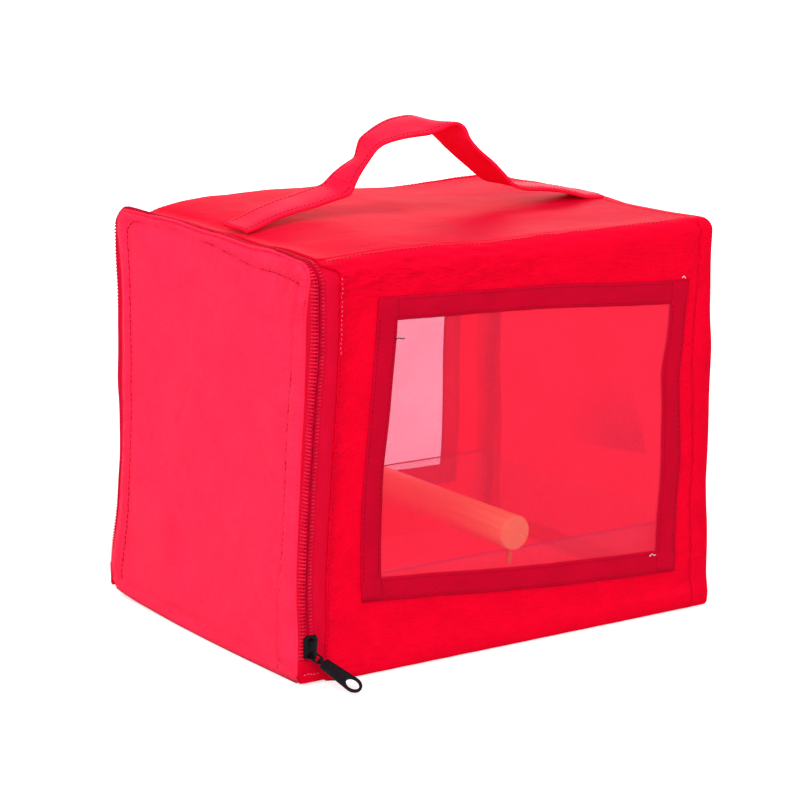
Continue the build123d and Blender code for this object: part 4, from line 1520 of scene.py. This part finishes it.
@dataclass
class Door:
    """The door end: a puffed edge round a flat board, a welt and a stitched channel."""

    palette: Palette
    box: Box = BOX
    edge: float = 1.9
    foot: float = 1.2
    front_foot_fold: float = 3.0
    back_foot_fold: float = 9.0
    step: float = 1.9
    front_channel: tuple[Pair, ...] = ((0, 19.0), (58, 18.4), (80, 16.0), (163, 16.1), (198, 12.4),
                                       (229, 9.2), (256, 8.7))
    top_channel: tuple[Pair, ...] = ((-112, 12.0), (-86, 11.5), (-56, 10.8), (-21, 7.8), (14, 4.8), (49, 4.4),
                                     (90, 5.4), (112, 7.0))
    creases: tuple[tuple[float, ...], ...] = (      # depth, slope, middle across and up, width, half length
        (1.1, 0.9, -90, 238, 1.7, 7), (1.0, -0.6, -93, 229, 1.7, 7), (0.8, 0.3, -96.4, 218, 1.6, 8))

    def place(self, y: Array, s: Array, lift: Array | float = 0.0) -> Array:
        """Lay flat door cloth on the slumped door.

        Args:
            y: Places across the door.
            s: Heights up the door.
            lift: Extra height over the cloth.

        Returns:
            Rows of X, Y and Z.
        """
        box = self.box
        half, high = box.half_depth - self.edge, box.door_height - self.edge
        corners = np.stack([half - np.abs(y), high - s], 1)
        side, top = rounded(corners, np.full_like(s, box.top_fold - self.edge)).T
        corners = np.stack([side, s - self.foot], 1)
        side, low = rounded(corners, np.where(y > 0, self.back_foot_fold, self.front_foot_fold)).T
        new_s = np.where(s > high / 2, high - top, low + self.foot)
        drawn_in = (ZIP_LINE.rim(new_s) - self.edge) * smooth(36, 0, side)
        new_y = np.where(y < 0, -1, 1) * (half - side - drawn_in)
        return DRAPE.settle(box.in_door(new_y, new_s, -(self.relief(y, s) + lift)))

    def channel_place(self, y: Array, s: Array) -> tuple[Array, Array]:
        """Distances of the stitched channel from the side edge and from the top edge of the cloth."""
        side = np.where(y < 0, table(s, self.front_channel), 12.0)
        return side, table(y, self.top_channel)

    def relief(self, y: Array, s: Array) -> Array:
        """Height of the cloth over the door's flat face."""
        half, high = self.box.half_depth - self.edge, self.box.door_height - self.edge
        side_channel, top_channel = self.channel_place(y, s)
        side = np.maximum(half - np.abs(y), 0.01) / side_channel
        top = np.maximum(high - s, 0.01) / top_channel
        rim = (side ** -8 + top ** -8) ** (-1 / 8)
        beyond = (rim - 1) * np.where(side < top, side_channel, top_channel)
        puff = np.where(rim < 1, 2.0 * np.sin(math.pi * np.clip(rim, 0, 1)) ** 0.7, 0.0)
        flat = smooth(0, 18, beyond) * (0.9 + 0.6 * ripple(np.stack([y, s], 1), 90, 31))
        groove = -0.9 * hump(beyond, 0, 1.1)
        hem = -0.9 * hump(s, self.foot + 8.5, 2.0) + 0.9 * hump(s, self.foot + 3.5, 2.4)
        dents = -1.9 * hump(y, 20.0, 9) * hump(s, 50.0, 12) + 1.1 * hump(y, 36.0, 10) * hump(s, 60.0, 12)
        dents += -0.8 * hump(y + 0.5 * (s - 145), 22.0, 1.8) * hump(s, 145.0, 10)
        corner = smooth(62, 92, -y) * smooth(212, 236, s)
        crumple = corner * (1.5 * ripple(np.stack([y + s * 0.4, s * 0.5], 1), 9, 33)
                            + 0.6 * ripple(np.stack([y, s], 1), 5, 34))
        for depth, slope, across, up, width, reach in self.creases:
            crumple -= depth * hump(y + slope * (s - up), across, width) * hump(s, up, reach)
        along_seam = 0.6 * hump(beyond, -3, 5) * ripple(np.stack([y, s], 1), 9, 35)
        height = ((puff + flat + along_seam) * smooth(self.foot, self.foot + 14, s)
                  + groove * smooth(6, 16, s) + hem + dents + crumple + smooth(0, 1, rim))
        lowest = -0.3       # or the board would show
        return np.maximum(height, lowest)

    def panel(self) -> None:
        """Make the door's outer cloth."""
        half = self.box.half_depth - self.edge
        us = stations(-half, half, self.step, (-half + 1, half - 1))
        vs = stations(self.foot, self.box.door_height - self.edge, self.step)

        def puckers(u: Array, v: Array) -> Array:
            by_zip = smooth(half - 18, half - 4, np.abs(u)) * smooth(60, 100, -u)
            return 0.08 + 0.5 * by_zip * smooth(40, 120, v)

        bm = faced(grid(us, vs, self.place, crease=puckers), (-1, 0, 0))
        # The door's paler finish is painted light.
        piece = lay_down("door_cloth_outer", bm, self.palette["door_cloth"], "door",
                         replaces=["door_panel"], thickness=0.9)

    def welt(self) -> None:
        """Make the turned edge that runs round the door."""
        arch = Arch(foot=2.0)
        along = np.arange(4.0, arch.length - 4.0, 2.0)
        bm = tube(arch.spot(along, 0.25, 0.2 - ZIP_LINE.rim(arch.height(along))), 1.05, 10)
        lay_down("door_welt_roll", bm, self.palette["door_cloth"], "door",
                 replaces=["door_welt"])

    def sewing(self) -> None:
        """Sew the channel inside the puffed edge."""
        half, high = self.box.half_depth - self.edge, self.box.door_height - self.edge
        leg = np.arange(5.0, high - 13.0, 1.5)
        run = np.arange(-half + 19.0, half - 21.0, 1.5)
        front = np.stack([-half + self.channel_place(-np.ones_like(leg), leg)[0], leg], 1)
        over = np.stack([run, high - self.channel_place(run, run)[1]], 1)
        back = np.stack([half - self.channel_place(np.ones_like(leg), leg)[0], leg], 1)[::-1]
        flat = np.concatenate([front, over, back])
        reach = travelled(flat)
        even = np.arange(0, reach[-1], 1.5)
        y, s = np.interp(even, reach, flat[:, 0]), np.interp(even, reach, flat[:, 1])
        bm = sewn(self.place, y, s, 0.35, 1.35, length=3.2, gap=0.7, girth=0.8)
        lay_down("door_stitches", bm, self.palette["door_thread"], "door")

    def build(self) -> None:
        """Make the door."""
        self.panel()
        self.welt()
        self.sewing()


@dataclass
class Zip:
    """Coils, cords, tapes and sewing of the zip that closes the door."""

    palette: Palette
    pitch: float = 2.2
    wire: float = 0.36          # radius of the coil's filament
    cord_radius: float = 0.72
    tape_sink: float = -0.75    # height of the tapes over the carrier's faces
    arch: Arch = Arch()

    def coil(self, name: str, shift: float, body: str, node: str) -> None:
        """Make one coil out of rings, long ones on the door's side.

        Args:
            name: The piece's name.
            shift: Start of the first ring along the line.
            body: The body that it rides on.
            node: The node that it stands for.
        """
        along = np.arange(shift, self.arch.length, self.pitch)
        height = self.arch.height(along)
        core = ZIP_LINE.middle(height)
        if body == "door":
            half = np.clip((core + ZIP_LINE.rim(height) - 2.6) / 2, 1.2, 2.5)
            depth = core - 0.7 - half
        else:
            half = np.full_like(along, 1.8)
            depth = core + 0.7 + half
        lift = -0.35 - 0.75 * smooth(0, 12, along - self.arch.length + self.arch.leg)
        middle = self.arch.at(along, depth, lift)
        inner = self.arch.at(along, depth + 0.6, lift)
        out = self.arch.outwards(along, depth)
        frames = [frame_of(m, i - m, o) @ Matrix.Diagonal((h / (1 + self.wire), 1.0, 1.0, 1.0))
                  for m, i, o, h in zip(middle, inner, out, half)]

        def stamp(bm: BMesh) -> None:
            quarter = Matrix.Rotation(math.pi / 2, 3, "X")
            start = bmesh.ops.create_circle(bm, segments=5, radius=self.wire)["verts"]
            bmesh.ops.rotate(bm, verts=start, cent=(0, 0, 0), matrix=quarter)
            bmesh.ops.translate(bm, verts=start, vec=(1.0, 0, 0))
            bmesh.ops.spin(bm, geom=bm.verts[:] + bm.edges[:], cent=(0, 0, 0), axis=(0, 0, 1),
                           angle=2 * math.pi, steps=10, use_merge=True)
            bmesh.ops.rotate(bm, verts=bm.verts[:], cent=(0, 0, 0), matrix=quarter)
            bmesh.ops.scale(bm, verts=bm.verts[:], vec=(1.0, 1.55, 0.52))
            bmesh.ops.recalc_face_normals(bm, faces=bm.faces[:])

        lay_down(name, scatter(stamp, frames), self.palette["nylon_coil"], body, replaces=[node])

    def cord(self, name: str, offset: float, body: str) -> None:
        """Lay the filler cord that runs through a coil, close to the closing line, in darker nylon that is
        painted shade for the gap between the coils.
        """
        along = np.arange(1.0, self.arch.length - 1.0, 2.0)
        core = ZIP_LINE.middle(self.arch.height(along))
        bm = tube(self.arch.at(along, core + offset, 0.05), self.cord_radius, 6)
        lay_down(name, bm, self.palette["nylon_painted_shade"], body)

    def tape(self, name: str, body: str, node: str) -> None:
        """Make one zip tape under its coil, from the closing line to under the cloth.

        Args:
            name: The piece's name.
            body: The body that it rides on.
            node: The node that it stands for.
        """
        arch = Arch(foot=6.5)
        bend = arch.leg + arch.bend
        along = stations(0, arch.length, 2.5, (arch.leg, bend, arch.length - bend, arch.length - arch.leg))
        cut = 19.5 if body == "root" else 12.5

        def edges(u: Array) -> tuple[Array, Array]:
            height = arch.height(u)
            core = ZIP_LINE.middle(height)
            if body == "root":
                return core + 0.15, np.full_like(u, 22.6)
            return -ZIP_LINE.rim(height) - 1.2, core - 0.15

        def laid(u: Array, v: Array) -> Array:
            low, high = edges(u)
            depth = low + v / cut * (high - low)
            if body == "door":
                return arch.at(u, depth, self.tape_sink + 0.55 * smooth(1.5, 0, depth))
            return arch.at(u, depth, self.tape_sink - 0.4 * smooth(13, 16, depth))

        bm = grid(along, stations(0, cut, 1.3), laid)
        faced(bm, (0, 0, 1) if body == "root" else (-1, 0, 0.2))
        piece = lay_down(name, bm, self.palette["zip_tape"], body, replaces=[node], thickness=0.5)
        low, high = edges(along)
        mean = float((high - low).mean())
        arch.length * MM
        arch.length * mean * MM * MM

    def sewing(self) -> None:
        """Sew the body's coil to its tape, along its outer side."""
        along = np.arange(0.5, self.arch.length, 1.5)
        depth = ZIP_LINE.middle(self.arch.height(along)) + 5.2
        line = self.arch.at(along, depth, -1.0)
        bm = stitches(line, self.arch.outwards(along, depth), length=2.0, gap=0.5, girth=0.7)
        lay_down("coil_stitches_body", bm, self.palette["binding_thread"], "root")

    def build(self) -> None:
        """Make the zip."""
        self.coil("coil_body", 0.0, "root", "body_zip_coil")
        self.coil("coil_door", self.pitch / 2, "door", "door_zip_coil")
        self.cord("coil_cord_body", 0.75, "root")
        self.cord("coil_cord_door", -0.75, "door")
        self.tape("tape_body", "root", "body_zip_tape")
        self.tape("tape_door", "door", "door_zip_tape")
        self.sewing()


# ---------------------------------------------------------------- hard parts


@dataclass
class Fittings:
    """Slider with its pull, the clear tray and the perch."""

    palette: Palette
    rim_inset: float = 0.6
    rim_radius: float = 0.55

    def build(self) -> None:
        """Make the hard parts."""
        walls = [f"tray_{part}" for part in ("floor", "wall_front", "wall_back", "wall_door", "wall_end")]
        for node, finish, slot, body, width, segments in (
                ("slider_body", "black_enamel", "slider_metal", "slider", 0.35, 2),
                ("slider_crown", "black_enamel", "slider_metal", "slider", 0.25, 2),
                ("pull_tab", "satin_enamel", "pull_tab_metal", "tab", 0.3, 2),
                *((wall, "clear_acrylic", "tray_acrylic", "root", 0.35, 1) for wall in walls)):
            bevelled_copy(node, self.palette[finish], body, width, segments)
        self.rims()
        bevelled_copy("perch_dowel", self.palette["beech_dowel"], "perch", 0.3, 2)
        dress = {"pull_link": "black_enamel", "zip_stops": "nylon_coil", "perch_pins": "hardwood_pin"}
        for node, finish in dress.items():
            mesh = bpy.data.objects[node].data
            mesh.materials.clear()
            mesh.materials.append(self.palette[finish])

    def rims(self) -> None:
        """Draw the sawn top edges of the tray's long walls; their purple is painted light, for the light that
        each edge gathers from all of the sheet.
        """
        for side in ("front", "back"):
            points = coordinates(node_mesh(f"tray_wall_{side}"))
            low, high = points.min(0), points.max(0)
            reach = np.arange(low[0] + 1.0, high[0] - 1.0, 4.0)
            y = low[1] + self.rim_inset if side == "front" else high[1] - self.rim_inset
            line = np.stack([reach, np.full_like(reach, y), np.full_like(reach, high[2] - 0.1)], 1)
            rim = tube(line, self.rim_radius, 8)
            lay_down(f"tray_rim_{side}", rim, self.palette["acrylic_edge_painted_light"])


@dataclass
class Strap:
    """Flat sewn strap: two leads stitched to the top and a grip pulled up between them."""

    palette: Palette
    half: float = 13.0
    thickness: float = 2.2
    seam_inset: float = 2.6
    grip: Pair = (8.0, 31.0)        # station numbers where the leads meet the grip
    front: tuple[Pair, ...] = (
        (-137.5, 254.5), (-129.0, 256.4), (-114.0, 261.6), (-99.0, 265.0), (-88.0, 266.8), (-73.0, 269.8),
        (-64.5, 271.4), (-60.6, 273.4), (-58.6, 277.5), (-56.3, 282.0), (-54.0, 286.0), (-51.5, 289.5),
        (-48.0, 293.6), (-43.3, 298.4), (-38.5, 301.3), (-31.7, 303.4), (-21.9, 304.8), (-12.0, 305.4),
        (-2.0, 305.9), (7.2, 308.1), (14.2, 310.4), (19.5, 311.2), (24.6, 309.2), (27.8, 306.0),
        (30.0, 301.7), (34.0, 296.6), (40.4, 290.8), (46.5, 286.9), (52.3, 283.0), (56.5, 279.2),
        (60.4, 275.2), (64.6, 270.8), (70.0, 267.4), (79.3, 265.4), (93.5, 264.2), (108.8, 261.9),
        (120.0, 259.2), (131.0, 256.4), (144.0, 255.4))
    back: tuple[Pair, ...] = (
        (-137.5, 255.1), (-129.0, 257.2), (-114.0, 262.6), (-100.0, 267.0), (-89.0, 269.6), (-76.0, 272.2),
        (-68.0, 273.2), (-63.6, 274.6), (-60.6, 277.4), (-57.2, 280.8), (-51.6, 284.4), (-45.7, 287.2),
        (-40.6, 290.0), (-38.9, 296.0), (-36.6, 301.6), (-30.5, 305.6), (-22.8, 309.5), (-13.9, 312.5),
        (-4.0, 313.9), (3.0, 313.8), (8.6, 311.8), (12.6, 308.8), (16.4, 305.2), (19.6, 302.0),
        (24.0, 298.4), (29.6, 294.0), (36.0, 289.2), (42.0, 284.6), (48.0, 280.2), (53.0, 276.6),
        (58.2, 272.8), (63.0, 269.6), (71.0, 267.2), (83.0, 266.0), (98.0, 264.8), (113.0, 262.4),
        (124.0, 260.0), (134.0, 257.6), (144.0, 256.2))

    def middle(self, along: Array, share: Array) -> Array:
        """Rows of X and Z at station numbers, and at shares of the way from front edge to back edge."""
        front, back = (np.stack([table(along, list(enumerate(axis))) for axis in zip(*pairs)], 1)
                       for pairs in (self.front, self.back))
        return front * (1 - share) + back * share

    def place(self, along: Array, across: Array, lift: Array | float = 0.0) -> Array:
        """Lay flat strap coordinates in place.

        Args:
            along: Station numbers along the strap.
            across: Places from the front edge, -half, to the back edge, half.
            lift: Height over the strap's middle, outwards.

        Returns:
            Rows of X, Y and Z.
        """
        share = ((across + self.half) / (2 * self.half))[:, None]
        step = 0.05
        run = unit(self.middle(along + step, share) - self.middle(along - step, share))
        normal = np.stack([-run[:, 1], run[:, 0]], 1)
        uneven = ripple(np.stack([along * 4, across * 0.5], 1), 16, 41)
        bulge = 0.5 * (1 - (across / self.half) ** 2) + 0.35 * uneven
        points = self.middle(along, share) + normal * (np.asarray(lift, float) + bulge)[:, None]
        return np.stack([points[:, 0], across, points[:, 1]], 1)

    def length(self, start: float, end: float) -> float:
        """Length of the strap's middle between two stations."""
        line = self.place(np.linspace(start, end, 300), np.zeros(300))
        return float(np.linalg.norm(np.diff(line, axis=0), axis=1).sum())

    def run(self, name: str, start: float, end: float, body: str | None,
            nodes: Sequence[str]) -> list[Piece]:
        """Make a stretch of the strap with its edge stitching.

        Args:
            name: The piece's name.
            start: First station.
            end: Last station.
            body: The body that it rides on, or None where it rides on no body.
            nodes: The nodes that it stands for.

        Returns:
            The strap and its stitches.
        """
        per_station = 6.4       # millimetres of strap
        seam = self.half - self.seam_inset
        us = stations(start * per_station, end * per_station, 1.9)
        vs = stations(-self.half, self.half, 2.0, (1.2 - self.half, self.half - 1.2, -seam, seam))

        def laid(u: Array, v: Array) -> Array:
            edge = self.half - np.abs(v)
            return self.place(u / per_station, v, self.thickness / 2
                              - 0.25 * hump(edge, self.seam_inset, 0.8) - 0.3 * hump(edge, 0, 0.8))

        bm = faced(grid(us, vs, laid), (0, 0, 1))
        piece = lay_down(name, bm, self.palette["strap_cloth"], body, replaces=nodes,
                         thickness=self.thickness)
        self.length(start, end) * MM
        along = np.linspace(start + 0.05, end - 0.05, int((end - start) * 8))
        sunk = self.thickness / 2 - 0.2
        rows = [sewn(self.place, along, np.full_like(along, edge), sunk, sunk + 1, length=2.5, gap=0.6,
                     girth=0.62) for edge in (-seam, seam)]
        thread = self.palette["red_thread"]
        return [piece, lay_down(f"{name}_stitches", joined(rows), thread, body)]

    def build(self) -> None:
        """Make both leads and the grip."""
        left, right = self.grip
        self.run("strap_grip", left, right, "handle", ["handle_arch"])
        for side, start, end, near, far in (("left", 0.0, left, -105.0, -62.0),
                                            ("right", right, len(self.front) - 1.0, 112.0, 66.0)):
            for piece in self.run(f"strap_lead_{side}", start, end, None, [f"handle_end_{side}"]):
                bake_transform(piece)


# ---------------------------------------------------------------- studio


@dataclass(frozen=True)
class Studio:
    """Plain white floor, soft lamps and the camera."""

    world_level: float = 0.76
    lamps: tuple[tuple[str, Triple, float, float], ...] = (     # name, place, width and watts
        ("key", (-1.9, -0.5, 1.9), 1.4, 28.0), ("fill", (-0.5, -2.4, 1.1), 1.2, 21.0),
        ("back", (1.6, 1.9, 1.2), 1.2, 29.0))
    lit: Triple = (0, 0, 0.12)          # where the lamps look
    floor_radius: float = 6.0
    floor_gap: float = 0.0003
    floor_glow: float = 0.62
    eye: Triple = (-1.08945, -1.44357, 0.55382)
    turns: Triple = (-36.80965, 13.133525, 1.62719)     # yaw, pitch and roll in degrees
    focal_pixels: float = 2888.638
    picture_pixels: float = 800.0
    sensor: float = 36.0

    def floor(self) -> None:
        """Lay a white floor that shows the object's soft shadow."""
        bm = bmesh.new()
        bmesh.ops.create_circle(bm, cap_ends=True, segments=96, radius=self.floor_radius)
        bmesh.ops.translate(bm, verts=bm.verts[:], vec=(0, 0, -self.floor_gap))
        mesh = bpy.data.meshes.new("studio_floor")
        bm.to_mesh(mesh)
        bm.free()
        material = bpy.data.materials.new("white_sweep")
        nodes = Nodes.of(material)
        tone = nodes.blended(nodes.specks(3.0), (0.62, 0.62, 0.62, 1), (0.6, 0.6, 0.6, 1))
        diffuse = nodes.add("BsdfDiffuse", {"Color": tone})
        level = nodes.times(nodes.seen(), self.floor_glow)
        glow = nodes.add("Emission", {"Color": (1, 1, 1, 1), "Strength": level})
        both = nodes.add("AddShader", {0: diffuse.outputs[0], 1: glow.outputs[0]})
        nodes.add("OutputMaterial", {0: both.outputs[0]})
        mesh.materials.append(material)
        floor = bpy.data.objects.new("studio_floor", mesh)
        bpy.context.scene.collection.objects.link(floor)

    def world(self) -> None:
        """Light softly from all round, and show white behind the object."""
        world = bpy.data.worlds.new("studio")
        bpy.context.scene.world = world
        nodes = Nodes.of(world)
        soft, white = (nodes.add("Background", {"Color": (1, 1, 1, 1), "Strength": level}).outputs[0]
                       for level in (self.world_level, 1.0))
        nodes.add("OutputWorld", {0: nodes.mixed(nodes.seen(), soft, white)})

    def lamp(self, name: str, place: Triple, size: float, power: float) -> None:
        """Hang a round lamp that faces the object."""
        light = bpy.data.lights.new(name, "AREA")
        light.shape = "DISK"
        light.size = size
        light.energy = power
        lamp = bpy.data.objects.new(name, light)
        lamp.location = place
        lamp.rotation_mode = "QUATERNION"
        lamp.rotation_quaternion = (Vector(self.lit) - Vector(place)).to_track_quat("-Z", "Y")
        bpy.context.scene.collection.objects.link(lamp)

    def camera(self) -> None:
        """Set the camera."""
        yaw, pitch, roll = (math.radians(a) for a in self.turns)
        back = Vector((math.sin(yaw) * math.cos(pitch), -math.cos(yaw) * math.cos(pitch), math.sin(pitch)))
        right = (-back).cross(Vector((0, 0, 1))).normalized()
        up = right.cross(-back)
        rolled_right = math.cos(roll) * right + math.sin(roll) * up
        rolled_up = -math.sin(roll) * right + math.cos(roll) * up
        data = bpy.data.cameras.new("camera")
        data.sensor_width = self.sensor
        data.lens = self.focal_pixels * self.sensor / self.picture_pixels
        data.clip_start, data.clip_end = 0.05, 50.0
        camera = bpy.data.objects.new("camera", data)
        matrix = Matrix((rolled_right, rolled_up, back)).transposed().to_4x4()
        matrix.translation = Vector(self.eye)
        camera.matrix_world = matrix
        bpy.context.scene.collection.objects.link(camera)
        bpy.context.scene.camera = camera

    def build(self) -> None:
        """Set up the studio."""
        self.floor()
        self.world()
        for lamp in self.lamps:
            self.lamp(*lamp)
        self.camera()
        bpy.context.scene.view_settings.view_transform = "Standard"


def main() -> None:
    """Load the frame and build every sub-assembly."""
    logging.basicConfig(level=logging.INFO, format="%(name)s: %(message)s")
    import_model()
    Studio().build()
    palette = Palette()
    Walls(palette).build()
    for wall, window in ((Wall.FRONT, BOX.front_window), (Wall.BACK, BOX.back_window)):
        WindowSet(palette, wall, window).build()
    Insides(palette).build()
    Door(palette).build()
    Zip(palette).build()
    Fittings(palette).build()
    Strap(palette).build()


if __name__ == "__main__":
    main()
